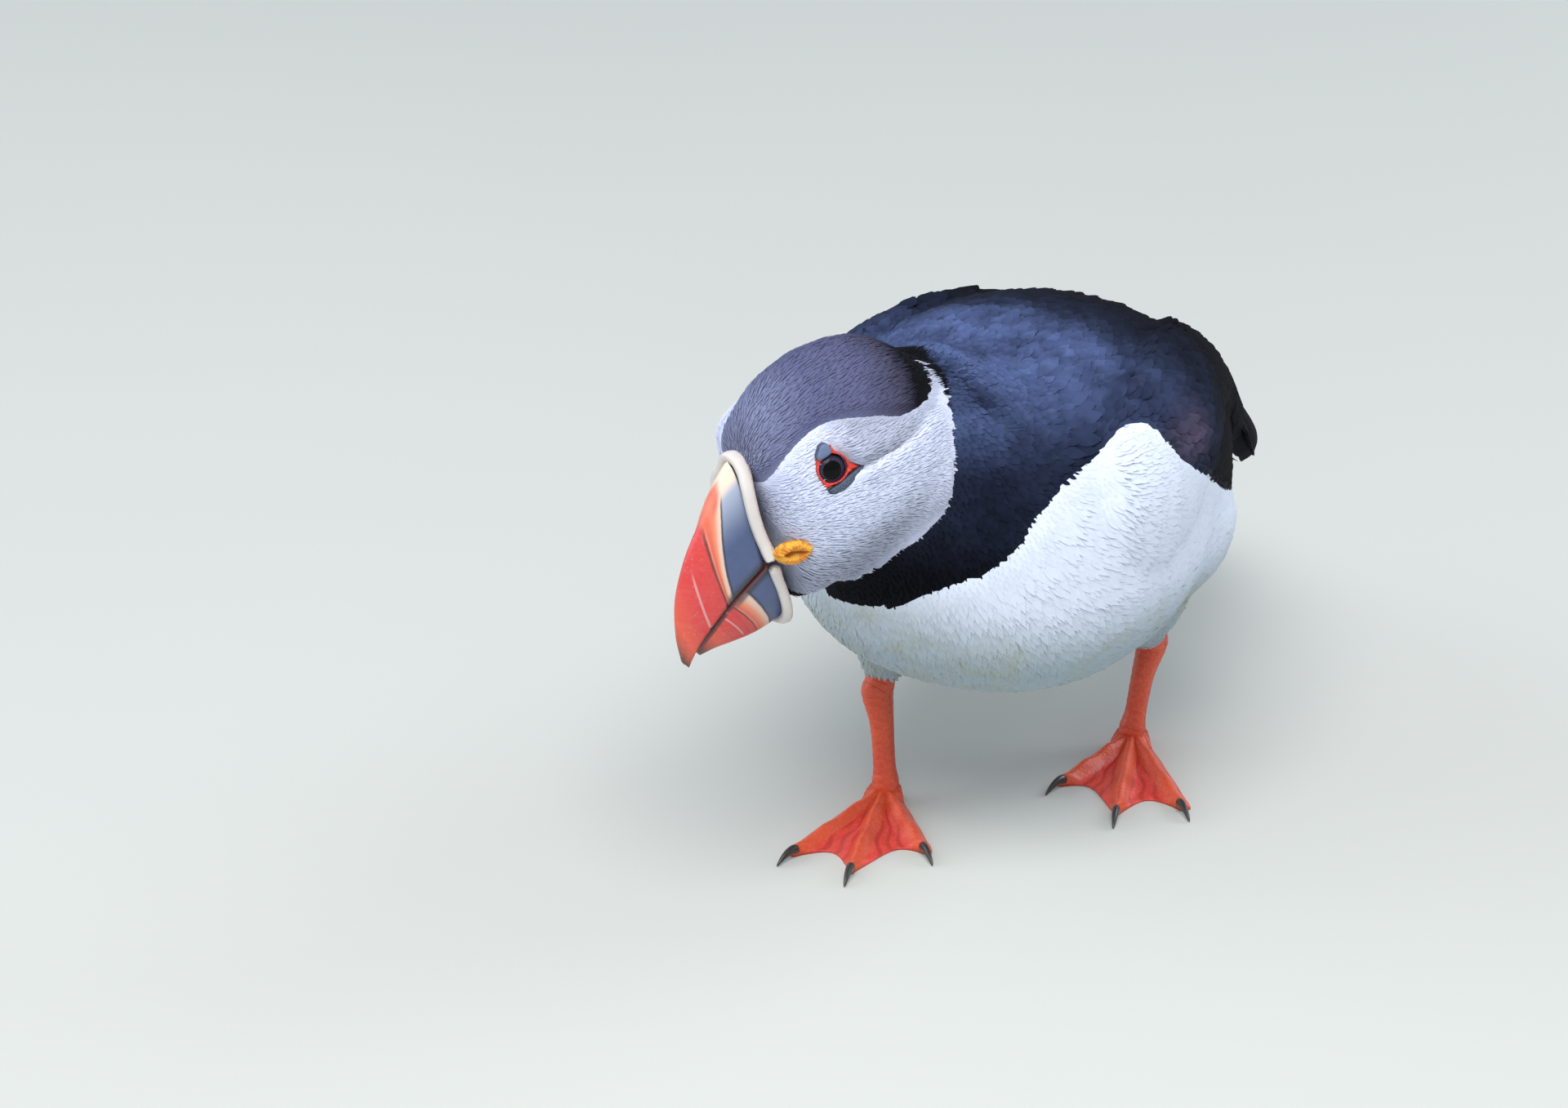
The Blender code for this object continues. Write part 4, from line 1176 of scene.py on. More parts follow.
def tail_vane(place_in_fan):
    """Tail feather; its place in the fan runs from -1 on the right to 1 on the left."""
    root = (-80.0, 6.0 * place_in_fan)
    tip = (-124.5 + 8.0 * place_in_fan ** 2, 10.5 * place_in_fan)

    def spot_at(share, aside, lift):
        forward, left = between(root, tip, share)
        left = left + aside
        middle = np.interp(-forward, *np.array(TAIL_LINE, float).T)
        arch = 2.4 * (left / 18.0) ** 2
        layer = 0.9 - 1.5 * abs(place_in_fan)
        return np.stack([forward, left, middle - arch + lift + layer], -1)

    return long_vane(spot_at, 10.5, 0.80)


def vane_piece(name, vanes, finish, replaced=()):
    """One piece from several vanes, each side of each with a cell of its own on the map."""
    mesh = joined([(place(TRUNK, some), those) for some, those, _ in vanes])
    tones = np.random.default_rng(4).random(len(vanes))
    made = piece(name, mesh, finish, "black_plumage", replaced,
                 tone=np.repeat(tones, [len(some) for some, _, _ in vanes]))
    corner = read(made.data.loops, "vertex_index", 1, int)
    own = np.concatenate([uv for _, _, uv in vanes])
    attribute(made, "vane_uv", own[corner], "FLOAT2", "CORNER")
    across = int(np.ceil(np.sqrt(2 * len(vanes) / 3.0)))
    down = int(np.ceil(2 * len(vanes) / across))
    sides = [half for _, _, uv in vanes for half in np.split(uv, 2)]
    cells = [(np.array((index % across, index // across)) + 0.04 + 0.92 * uv) / (across, down)
             for index, uv in enumerate(sides)]
    layer = made.data.uv_layers.new(name="OFBake")
    layer.data.foreach_set("uv", np.concatenate(cells)[corner].astype(np.float32).ravel())


def quill_finish():
    """Brown-black vanes with slanting barbs, a shaft and worn paler rims."""
    graph = surface("wing_quill_vane", Specular_IOR_Level=0.03)
    lines = graph.use(BARBS, Barbs=95.0, Slant=26.0, Shaft=0.035)
    cloud = graph.noise(120.0, 4.0)
    colour = graph.mix(cloud, (0.0035, 0.0038, 0.007), (0.009, 0.010, 0.018))
    colour = graph.mix(graph.value("tone") * 0.5, colour, (0.012, 0.011, 0.015))
    rim = lines["Aside"].step(0.40, 0.50)
    colour = graph.mix(rim * 0.55, colour, (0.022, 0.021, 0.026))
    colour = graph.mix(lines["Rachis"] * 0.7, colour, (0.020, 0.016, 0.015))
    colour = graph.mix(lines["Streak"] * 0.35, colour, (0.002, 0.002, 0.003))
    return graph.finish(colour, cloud.step(0.3, 0.7, 0.66, 0.78), lines["Streak"], 0.05, 0.6)


def make_quills(skin):
    """Wing quills under two rows of coverts on each side, and the tail."""
    finish = quill_finish()
    bed = WingBed(skin)
    chance = np.random.default_rng(12)
    for word, side in SIDES:
        vanes = []
        for t in np.linspace(0.0, 1.0, QUILLS).tolist():
            root = (-38.0 - 8.0 * t, 0.08 + 0.78 * t)
            tip = (-57.0 - 48.0 * t ** 0.72 + 2.0 * max(t - 0.85, 0) / 0.15, 0.20 + 0.74 * t)
            vanes.append(wing_vane(bed, side, root, tip, 11.0 - 3.5 * t, 0.7 - 0.45 * t,
                                   0.80 - 0.12 * t))
        for start, reach, width, layer in COVERT_ROWS:
            for t in np.linspace(0.0, 1.0, COVERTS).tolist():
                forward = start - 4.0 * t + chance.uniform(-0.8, 0.8)
                across = 0.03 + 0.90 * t
                tip = (forward - reach * (1.0 - 0.25 * t), across + 0.02 - 0.03 * t)
                vanes.append(wing_vane(bed, side, (forward, across), tip, width, layer, 0.60))
        vane_piece("wing_quills_" + word, vanes, finish)
    order = sorted(np.linspace(-1.0, 1.0, 13), key=lambda share: -abs(share))
    vane_piece("tail_quills", [tail_vane(share) for share in order], finish, ("tail",))


# ---- bill ---------------------------------------------------------------------------

# curves across the side of each mandible, from its ridge to its cutting edge:
# (forward, up) at the ridge, halfway and at the edge, and half width there
UPPER_BANDS = (
    ((14.4, 7.1), (17.9, -4.2), (20.6, -15.6), 7.5),        # behind the plate
    ((18.0, 4.9), (26.0, -6.2), (29.8, -18.7), 6.1),        # front of the plate
    ((27.0, -1.8), (30.0, -10.2), (31.2, -19.7), 5.3),      # dark groove, painted shade
    ((33.1, -6.3), (35.7, -14.3), (36.8, -22.5), 4.2),      # pale groove
    ((39.3, -13.0), (40.3, -18.9), (40.6, -24.9), 3.1),
    ((43.3, -20.9), (43.2, -24.0), (42.9, -27.3), 1.9),
    ((44.9, -27.0), (44.7, -28.3), (44.4, -29.3), 0.9),
)
LOWER_BANDS = (
    ((18.8, -33.4), (18.9, -25.4), (19.2, -17.2), 7.2),
    ((24.2, -33.2), (25.4, -26.6), (27.6, -19.9), 5.9),
    ((28.0, -32.6), (29.4, -27.2), (31.4, -21.9), 4.9),
    ((32.4, -31.2), (33.4, -27.7), (34.8, -23.9), 3.8),
    ((36.9, -29.7), (37.3, -27.8), (38.0, -25.8), 2.5),
    ((40.6, -28.9), (40.8, -28.2), (41.0, -27.4), 1.1),
)
BAND_STEPS = 12                 # rings between two bands
SIDE_STEPS = 22                 # points from ridge to cutting edge
GROOVES = ((2.0, 0.085, 0.34, 0.0), (3.0, 0.075, 0.30, 0.34), (1.52, 0.05, 0.06, 0.2),
           (3.95, 0.07, 0.12, 0.45))     # band, half width, depth, where it starts


def mandible(bands, keel):
    """Mesh of one mandible with its grooves, and its points' band and side numbers."""
    knots = through([np.array([*a, *b, *c, w]) for a, b, c, w in bands], BAND_STEPS)
    rings, marks = [], []
    down = np.linspace(0.0, 1.0, SIDE_STEPS)
    inward = np.linspace(0.85, 0.0, 5)
    curve = (2 * (down - 0.5) * (down - 1), 4 * down * (1 - down), 2 * down * (down - 0.5))
    for index, knot in enumerate(knots):
        band = index / BAND_STEPS
        middle, edge, width = knot[2:4], knot[4:6], knot[6]
        side = sum(np.outer(share, spot) for share, spot in zip(curve, (knot[:2], middle, edge)))
        bulge = width * np.sin(np.clip(down * 0.56 * pi, 0, pi)) ** (0.62 if keel else 0.55)
        for at, spread, depth, start in GROOVES:
            cut = depth * bell((band, at, spread)) * ramp(down, start - 0.1, start + 0.1)
            lip = 0.35 * depth * bell((band, at + 0.16, 0.09)) * ramp(down, start, start + 0.2)
            bulge = bulge + (lip - cut) * ramp(down, 0.0, 0.12) * min(width / 4.0, 1.0)
        across = np.concatenate([bulge, bulge[-1] * inward])
        hollow = (edge - middle) / max(np.linalg.norm(edge - middle), 0.1)
        rise = -1.2 if keel else 2.2
        flat = np.concatenate([side, edge + np.outer(1.0 - inward ** 2, hollow) * rise])
        left = np.stack([flat[:, 0], across, flat[:, 1]], 1)
        rings.append(np.concatenate([left, left[::-1][1:-1] * (1, -1, 1)]))
        v = np.concatenate([down, np.full(len(inward), 1.15)])
        v = np.concatenate([v, v[::-1][1:-1]])
        marks.append(np.stack([np.full(len(v), band), v], 1))
    marks = np.concatenate(marks + [[[0.0, 1.1], [len(bands) - 1.0, 0.5]]])
    return lofted(rings, HEAD), marks.T


def horn_spots():
    """Fine scratches and specks of worn horn."""
    graph, _ = group("Worn horn", (), {"Scratches": FLOAT, "Specks": FLOAT})
    drawn = graph.wire("ShaderNodeMapping", {0: graph.place(), "Scale": (160.0, 160.0, 1400.0)})
    scratches = graph.noise(900.0, 4.0, 0.7) * graph.noise(1.0, 3.0, 0.7, drawn)
    return graph.give(Scratches=scratches, Specks=graph.cells(900.0).step(0.20, 0.06))


HORN = horn_spots()

SLATE = (0.050, 0.080, 0.190)
SLATE_PALE = (0.36, 0.42, 0.55)
SLATE_DARK = (0.012, 0.016, 0.028)
CREAM = (0.72, 0.54, 0.44)
ORANGE = (0.70, 0.12, 0.05)
RED = (0.62, 0.022, 0.022)
# painted shade in the deepest groove
GROOVE_SHADE = (0.10, 0.012, 0.010)
GROOVE_PALE = (0.72, 0.34, 0.34)
TIP_DARK = (0.10, 0.02, 0.012)
SLATE_WORN = (0.075, 0.110, 0.230)
# colour of the horn by band
BILL_STOPS = ((1.03, CREAM), (1.14, CREAM), (1.40, (0.78, 0.27, 0.15)), (1.72, ORANGE),
              (1.92, (0.70, 0.11, 0.05)), (2.08, RED), (3.4, RED), (4.6, (0.72, 0.075, 0.03)),
              (5.3, (0.45, 0.06, 0.025)), (5.9, TIP_DARK))
# tinted lines: band, half width, where it starts, colour, strength
# the first line's dark tint is painted shade in the deepest groove
GROOVE_TINTS = ((2.0, 0.10, 0.06, GROOVE_SHADE, 0.85), (3.0, 0.085, 0.22, GROOVE_PALE, 0.80),
                (1.88, 0.05, 0.1, (0.75, 0.42, 0.42), 0.35),
                (3.95, 0.06, 0.5, (0.55, 0.10, 0.06), 0.5))


def bill_finish(name, pale_top):
    """Slate plate, cream band and grooved red horn, by band number and place down the side."""
    graph = surface(name, (0.08, 0.0015, (1.0, 0.3, 0.2)), Coat_Weight=0.25,
                    Coat_Roughness=0.22, Specular_IOR_Level=0.45)
    mix = graph.mix
    horn = graph.use(HORN)
    band = graph.value("band") + (graph.noise(220.0) - 0.5) * 0.10
    down = graph.value("side")
    slate = mix(graph.noise(500.0, 4.0), SLATE, SLATE_WORN)
    slate = mix(down.step(0.62, 0.10) * pale_top, slate, SLATE_PALE)
    colour = graph.stops(band / 6.0, [(at / 6, tint) for at, tint in BILL_STOPS])
    colour = mix(band.step(1.01, 0.97), colour, slate)
    rim = band.step(0.88, 0.98) * band.step(1.06, 0.99)
    colour = mix(rim * 0.85, colour, SLATE_DARK)
    peach = mix(band.step(0.95, 1.30), (0.86, 0.66, 0.52), (0.84, 0.13, 0.06))
    ridge = down.step(0.20, 0.08) * band.step(1.75, 1.35)
    colour = mix(ridge * pale_top, colour, peach)
    for at, half, start, tint, power in GROOVE_TINTS:
        line = abs(band - at).step(half, half * 0.35) * down.step(start - 0.08, start + 0.12)
        colour = mix(line * power, colour, tint)
    # painted shadow along the cutting edge, in the gap where the mandibles meet
    edge = down.step(0.90, 0.985) * band.step(2.6, 1.2)
    colour = mix(edge * 0.9, colour, (0.03, 0.035, 0.055))
    # painted shade inside the mouth, on the mandibles' inner faces
    colour = mix(down.step(1.01, 1.06), colour, (0.16, 0.035, 0.030))
    colour = mix(horn["Specks"] * band.step(1.5, 3.0) * 0.30, colour, (0.80, 0.42, 0.38))
    faded = horn["Scratches"] * band.step(0.95, 1.10, 0.05, 0.32)
    colour = mix(faded, colour, (0.60, 0.42, 0.40))
    return graph.finish(colour, horn["Scratches"].step(0.1, 0.45, 0.30, 0.52),
                        horn["Scratches"], 0.06, 0.7)


def ivory_finish():
    """Cream ridge with rows of tiny orange pores along its rear edge."""
    graph = surface("bill_ridge_ivory", (0.15, 0.0015, (1.0, 0.6, 0.4)),
                    Specular_IOR_Level=0.35)
    rear = graph.value("across").step(0.60, 0.86)
    pores = graph.cells(2300.0).step(0.34, 0.12) * rear
    colour = graph.mix(graph.noise(300.0), (0.70, 0.68, 0.68), (0.62, 0.57, 0.53))
    colour = graph.mix(rear * 0.30, colour, (0.62, 0.34, 0.20))
    colour = graph.mix(pores * 0.8, colour, (0.45, 0.11, 0.03))
    return graph.finish(colour, graph.noise(1200.0).step(0.2, 0.8, 0.42, 0.6),
                        graph.noise(1500.0, 3.0) - pores, 0.10, 0.6)


# centre line of the rolled edge round the base of each mandible: (forward, left, up)
UPPER_ROLL = ((12.3, 0.0, 7.4), (12.7, 2.3, 6.8), (13.6, 4.3, 4.8), (15.3, 6.4, 2.2),
              (16.7, 7.5, -1.3), (17.6, 8.0, -4.5), (18.2, 8.4, -8.0), (18.5, 8.9, -10.6),
              (18.7, 9.5, -12.8), (18.7, 10.0, -14.4))
LOWER_ROLL = ((20.3, 0.0, -34.2), (20.2, 3.0, -33.6), (19.8, 5.2, -31.4), (19.3, 6.5, -28.0),
              (19.0, 7.2, -24.0), (19.0, 7.9, -20.4), (18.9, 8.8, -16.6))

BILL_MIDDLE = (16.0, 0.0, -12.0)


def rolled_edge(name, line, thick, broad, node, finish):
    """Rounded ivory roll that runs down both sides of the bill's base."""
    half = through(np.array(line, float), 8)
    way = np.concatenate([half[::-1] * (1, -1, 1), half[1:]])
    middle = len(half) - 1
    rings, across = [], []
    angles = around(22)
    round_it = np.sin(angles) * np.where(np.sin(angles) < 0.0, 2.6, 1.0)
    for index, spot in enumerate(way):
        run = run_at(way, index)
        share = abs(index - middle) / middle
        ahead = np.array([0.90, 0.0, 0.43])
        ahead = unit(ahead - run * (ahead @ run))
        out = np.cross(ahead, run)
        if out @ (spot - BILL_MIDDLE) < 0:
            out = -out
        close = 1.0 - 0.8 * ramp(share, 0.955, 1.0)
        wide = broad * (1.0 + 0.40 * bell((share, 0.0, 0.22)) + 0.12 * ramp(share, 0.75, 0.95))
        rings.append(spot + np.outer(np.cos(angles) * wide * close, ahead)
                     + np.outer(round_it * thick * close, out))
        across.append((1.0 - np.cos(angles)) / 2)
    piece(name, lofted(rings, HEAD), finish, "bill_ridge", (node,),
          across=np.concatenate(across + [[0.5, 0.5]]))


ROSETTE_AT = (14.6, 12.5, -14.2)
ROSETTE_HALF = (3.9, 3.0)
ROSETTE_TURN = 20.0
# share of the way out, height
ROSETTE_SHAPE = ((0.02, 0.55), (0.16, 0.58), (0.30, 0.85), (0.44, 1.25), (0.58, 1.48),
                 (0.72, 1.40), (0.85, 1.02), (0.95, 0.45), (1.0, -0.3), (0.9, -1.3),
                 (0.4, -1.8), (0.05, -1.9))


def rosette(word, side, finish):
    """Fleshy pleated fold round the corner of the mouth, sunk at its slit."""
    turns = around(120)
    axis = radians(ROSETTE_TURN)
    rings, marks = [], []
    for reach, high in through(np.array(ROSETTE_SHAPE), 4):
        pleat = 0.13 * np.sin(turns * 21 + 0.8 * np.sin(turns * 3)) + 0.05 * np.sin(turns * 37)
        pleat = pleat * ramp(reach, 0.25, 0.55) * (high > -0.2)
        slit = bell((reach * np.sin(turns), 0.0, 0.16)) * ramp(-reach, -0.78, -0.5)
        pleat = pleat - 0.75 * slit * (high > 0.2)
        marks.append(slit)
        uneven = 1.0 + 0.05 * np.sin(3 * turns + side) + 0.02 * np.sin(turns * 17)
        one = ROSETTE_HALF[0] * reach * np.cos(turns) * uneven
        two = ROSETTE_HALF[1] * reach * np.sin(turns) * uneven * (1.0 + 0.2 * np.cos(turns))
        ahead = one * cos(axis) - two * sin(axis)
        up = one * sin(axis) + two * cos(axis)
        aside = ROSETTE_AT[1] - 0.42 * ahead + 0.12 * up + high + pleat
        rings.append(np.stack([ROSETTE_AT[0] + ahead, side * aside, ROSETTE_AT[2] + up], 1))
    piece("gape_skin_" + word, lofted(rings, HEAD), finish, "gape_skin", ("gape_" + word,),
          slit=np.concatenate(marks + [[1.0, 0.0]]))


def gape_finish():
    """Orange-yellow folded skin, with painted shade in its slit."""
    graph = surface("gape_yellow_skin", (0.2, 0.0015, (1.0, 0.5, 0.2)), Specular_IOR_Level=0.4)
    folds = graph.noise(700.0, 4.0)
    colour = graph.mix(folds.step(0.35, 0.7), (0.62, 0.20, 0.015), (0.86, 0.47, 0.05))
    # painted shade in the slit
    colour = graph.mix(graph.value("slit") * 0.8, colour, (0.36, 0.07, 0.01))
    return graph.finish(colour, folds.step(0.2, 0.8, 0.38, 0.55), folds, 0.18, 0.7)


def make_bill():
    """Both mandibles, the rolls at their base and the gape folds."""
    for word, bands, keel, pale in (("upper", UPPER_BANDS, True, 1.0),
                                    ("lower", LOWER_BANDS, False, 0.0)):
        mesh, (band, down) = mandible(bands, keel)
        scale = 6.0 / band.max() if keel else 1.25
        name = "bill_horn_" + word
        piece(name, mesh, bill_finish(name + "_finish", pale), "bill_horn", ("bill_" + word,),
              band=band * scale, side=down)
    ivory = ivory_finish()
    rolled_edge("bill_base_upper", UPPER_ROLL, 0.80, 1.40, "bill_ridge_upper", ivory)
    rolled_edge("bill_base_lower", LOWER_ROLL, 0.70, 1.20, "bill_ridge_lower", ivory)
    yellow = gape_finish()
    for word, side in SIDES:
        rosette(word, side, yellow)


# ---- eyes ---------------------------------------------------------------------------

# share of the way out, height over the eye's centre
LID_SHAPE = ((0.0, 4.15), (0.06, 4.60), (0.20, 4.95), (0.38, 5.05), (0.58, 4.95), (0.80, 4.78),
             (0.96, 4.55), (1.0, 4.2), (0.9, 3.4), (0.3, 3.2))
PLATE_SHAPE = ((0.04, 5.65), (0.3, 5.63), (0.55, 5.58), (0.76, 5.48), (0.9, 5.32),
               (0.98, 5.05), (1.0, 4.6), (0.97, 3.8))


def eyeball(word, local, finish):
    """Ball with a slightly bulging cornea; its poles lie on the line of sight."""
    rings = []
    turns = around(64)
    for angle in np.linspace(0.02, pi - 0.02, 48):
        reach = EYE_RADIUS * sin(angle)
        high = EYE_RADIUS * cos(angle) + 0.16 * (1.0 - ramp(reach, 1.6, 3.3)) * (angle < 1.0)
        rings.append(np.stack([reach * np.cos(turns), reach * np.sin(turns),
                               np.full(len(turns), high)], 1))
    points, faces = lofted(rings)
    reach = np.hypot(points[:, 0], points[:, 1])
    piece("eyeball_" + word, (place(local, points), faces), finish, "eye", ("eye_" + word,),
          from_pupil=np.where(points[:, 2] > 0, reach, 9.0))


def eye_finish():
    """Dark grey iris with a darker rim round the black pupil, under a wet coat."""
    graph = surface("eye_wet", Coat_Weight=0.18, Coat_Roughness=0.015, Specular_IOR_Level=0.05)
    reach = graph.value("from_pupil")
    grain = graph.noise(2200.0, 3.0)
    colour = graph.mix(grain, (0.022, 0.022, 0.045), (0.050, 0.048, 0.085))
    rim = reach.step(IRIS_RADIUS - 0.45, IRIS_RADIUS - 0.10)
    colour = graph.mix(rim, colour, (0.006, 0.006, 0.010))
    pupil = reach.step(PUPIL_RADIUS + 0.12, PUPIL_RADIUS - 0.10)
    colour = graph.mix(pupil, colour, (0.0015, 0.0015, 0.002))
    outside = reach.step(IRIS_RADIUS - 0.05, IRIS_RADIUS + 0.15)
    return graph.finish(graph.mix(outside, colour, (0.22, 0.10, 0.12)), 0.25)


def lid_ring(word, local, finish):
    """Bare red skin round the eye: a rounded lip that runs out into corners."""
    turns = np.linspace(-pi, pi, 240, endpoint=False)
    outer = ring_reach(turns)
    rings = []
    for share, high in LID_SHAPE:
        reach = RING_INNER + (outer - RING_INNER) * share
        far = np.clip((reach - 3.6) / 4.0, 0.0, 1.0)
        rough = 0.05 * np.sin(turns * 23) + 0.04 * np.sin(turns * 41 + 1.0)
        drop_of = high - 0.1 * far + rough * (0.1 < share < 0.9)
        rings.append(np.stack([RING_CENTRE[0] + reach * np.cos(turns),
                               RING_CENTRE[1] + reach * np.sin(turns), drop_of], 1))
    rows, columns = len(rings), len(turns)
    faces = grid(rows, columns, True)
    last = (rows - 1) * columns
    faces += [(last + c, last + (c + 1) % columns, (c + 1) % columns, c) for c in range(columns)]
    piece("lid_skin_" + word, (place(local, np.concatenate(rings)), faces), finish, "eye_ring",
          ("lid_" + word,), across=np.repeat([share for share, _ in LID_SHAPE], columns))


def lid_finish():
    """Orange-red skin, darker towards both edges of the ring."""
    graph = surface("lid_red_skin", (0.15, 0.001, (1.0, 0.3, 0.2)), Specular_IOR_Level=0.45,
                    Coat_Weight=0.2, Coat_Roughness=0.2)
    grain, across = graph.noise(1500.0, 3.0), graph.value("across")
    colour = graph.mix(grain, (0.56, 0.022, 0.014), (0.74, 0.065, 0.032))
    colour = graph.mix(across.step(0.16, 0.02), colour, (0.16, 0.03, 0.05))
    colour = graph.mix(across.step(0.86, 1.0) * 0.6, colour, (0.20, 0.03, 0.05))
    return graph.finish(colour, grain.step(0.2, 0.8, 0.30, 0.5), grain, 0.08, 0.6)


def plate_piece(name, outline, local, node, finish):
    """Small domed plate of horn over or under the eye."""
    edge = through(np.array(outline + outline[:1]), 9)[:-1]
    centre = edge.mean(0)
    rings = [np.column_stack([centre + (edge - centre) * share, np.full(len(edge), high)])
             for share, high in PLATE_SHAPE]
    across = np.repeat([share for share, _ in PLATE_SHAPE], len(edge))
    piece(name, lofted(rings, local), finish, "eye_plate", (node,),
          across=np.append(across, (0.0, 1.0)))


def plate_finish(name, pale, dark):
    """Grained blue-grey horn with a dark rim."""
    graph = surface(name, Specular_IOR_Level=0.4)
    grains = graph.cells(2600.0).step(0.10, 0.42)
    rim = graph.value("across").step(0.84, 0.99)
    colour = graph.mix(rim * 0.65, graph.mix(grains, pale, dark), (0.015, 0.018, 0.030))
    return graph.finish(colour, grains.step(0.0, 1.0, 0.38, 0.6), grains, -0.12, 0.8)


def make_eyes():
    """Eyeballs, red rings and horn plates of both eyes."""
    wet, red = eye_finish(), lid_finish()
    plates = (("plate_upper_", UPPER_PLATE,
               plate_finish("plate_upper_horn", (0.22, 0.30, 0.46), (0.13, 0.18, 0.31))),
              ("plate_lower_", LOWER_PLATE,
               plate_finish("plate_lower_horn", (0.19, 0.26, 0.37), (0.060, 0.080, 0.125))))
    for word, local in EYES.items():
        eyeball(word, local, wet)
        lid_ring(word, local, red)
        for name, outline, horn in plates:
            plate_piece(name + word, outline, local, "eye_" + name + word, horn)


# ---- legs ---------------------------------------------------------------------------

# below the heel, half width, half depth
HEEL_SHAPE = ((-4.5, 3.2, 3.6), (0.25, 3.6, 4.0), (2.4, 3.7, 4.1))
TARSUS_SHAPE = ((0.4, 2.75, 3.25), (0.8, 2.55, 3.05), (1.0, 3.2, 3.4))   # share of the way down
TOES = {"inner": (-30.0, 0.74), "middle": (0.0, 1.0), "outer": (24.0, 0.93)}  # degrees, reach
TOE_THINNING = 1.9
TOE_RADIUS = 2.0
PAD_RADIUS = 6.0
FOOT_BACK = 3.6
WEB_HEIGHT = 1.25
WEB_NOTCH = 0.2
WEB_MARGIN = 4.0
WEB_RIM = 0.55
CLAW_SHAPE = ((0.0, 1.15), (0.12, 1.25), (0.35, 1.1), (0.7, 0.75), (0.92, 0.42), (1.0, 0.12))
CLAW_LENGTH = 6.4
SCUTE_STEP = 1.9                # along the shank
TOE_SCUTE_STEP = 1.15
FINE_STEP = 1.1                 # fine scales behind the shank


def scute(distance, pitch):
    """Height of overlapping scales along a way, 0 in the groove and 1 on the crest."""
    share = np.mod(distance / pitch, 1.0)
    return np.sin(pi * share ** 0.7) ** 0.45


def tarsus(word, finish):
    """Bare shank, with broad scutes down its front and fine scales behind."""
    heel, knee = np.array(HEELS[word]), np.array(KNEES[word])
    down = unit(heel - knee)
    ankle = np.array((*FEET[word], FOOT_HEIGHT + 0.35))
    knots = [np.array([*(heel + down * under), wide, deep]) for under, wide, deep in HEEL_SHAPE]
    knots += [np.array([*(heel + (ankle - heel) * share), wide, deep])
              for share, wide, deep in TARSUS_SHAPE]
    knots.append(np.array([*ankle[:2], 1.0, 3.0, 3.2]))
    way = through(knots, 16)
    turns = around(56)
    steps = np.linalg.norm(np.diff(way[:, :3], axis=0), axis=1)
    front_share = ramp(np.cos(turns), 0.15, 0.55)
    rings, groove = [], []
    for index, gone in enumerate(np.concatenate([[0.0], np.cumsum(steps)])):
        axis = run_at(way[:, :3], index)
        front = unit(np.array([0.0, -1.0, 0.0]) - axis * -axis[1])
        side = np.cross(axis, front)
        broad = scute(gone + 0.35 * np.cos(turns * 2), SCUTE_STEP)
        rows = np.cos(turns * 14 + pi * np.floor(gone / FINE_STEP))
        fine = 0.5 + 0.5 * rows * np.sin(2 * pi * gone / FINE_STEP)
        level = broad * front_share + fine * (1.0 - front_share) * 0.6
        raised = 0.20 * (level - 0.6)
        out = np.cos(turns)[:, None] * front * (way[index, 4] + raised)[:, None]
        across = np.sin(turns)[:, None] * side * (way[index, 3] + raised)[:, None]
        rings.append(way[index, :3] + out + across)
        groove.append(1.0 - level)
    mesh = lofted(rings)
    piece("shank_" + word, mesh, finish, "leg_skin", ("tarsus_" + word,),
          groove=np.concatenate(groove + [[0.5, 0.5]]), web=np.zeros(len(mesh[0])))


def foot_axes(word):
    """Where the foot stands, its forward direction and the side of its outer toe."""
    turn = radians(FOOT_TURN[word])
    forward = np.array([sin(turn), -cos(turn), 0.0])
    outer = np.array([cos(turn), sin(turn), 0.0]) * dict(SIDES)[word]
    return np.array((*FEET[word], 0.0)), forward, outer


def heading(turn):
    """Direction of a turn in degrees from straight ahead, towards the outer toe."""
    return np.array([cos(radians(turn)), sin(radians(turn))])


def foot_edge(turn):
    """Reach of the foot in a direction: toes reach out, the web between them is cut back."""
    spots = sorted(TOES.values())
    for (left, one), (right, two) in zip(spots, spots[1:]):
        if left <= turn <= right:
            share = (turn - left) / (right - left)
            cut = WEB_NOTCH * sin(pi * share) ** 0.8
            return FOOT_LENGTH * (one + (two - one) * share - cut)
    reach = spots[0][1] if turn < spots[0][0] else spots[-1][1]
    return FOOT_LENGTH * reach


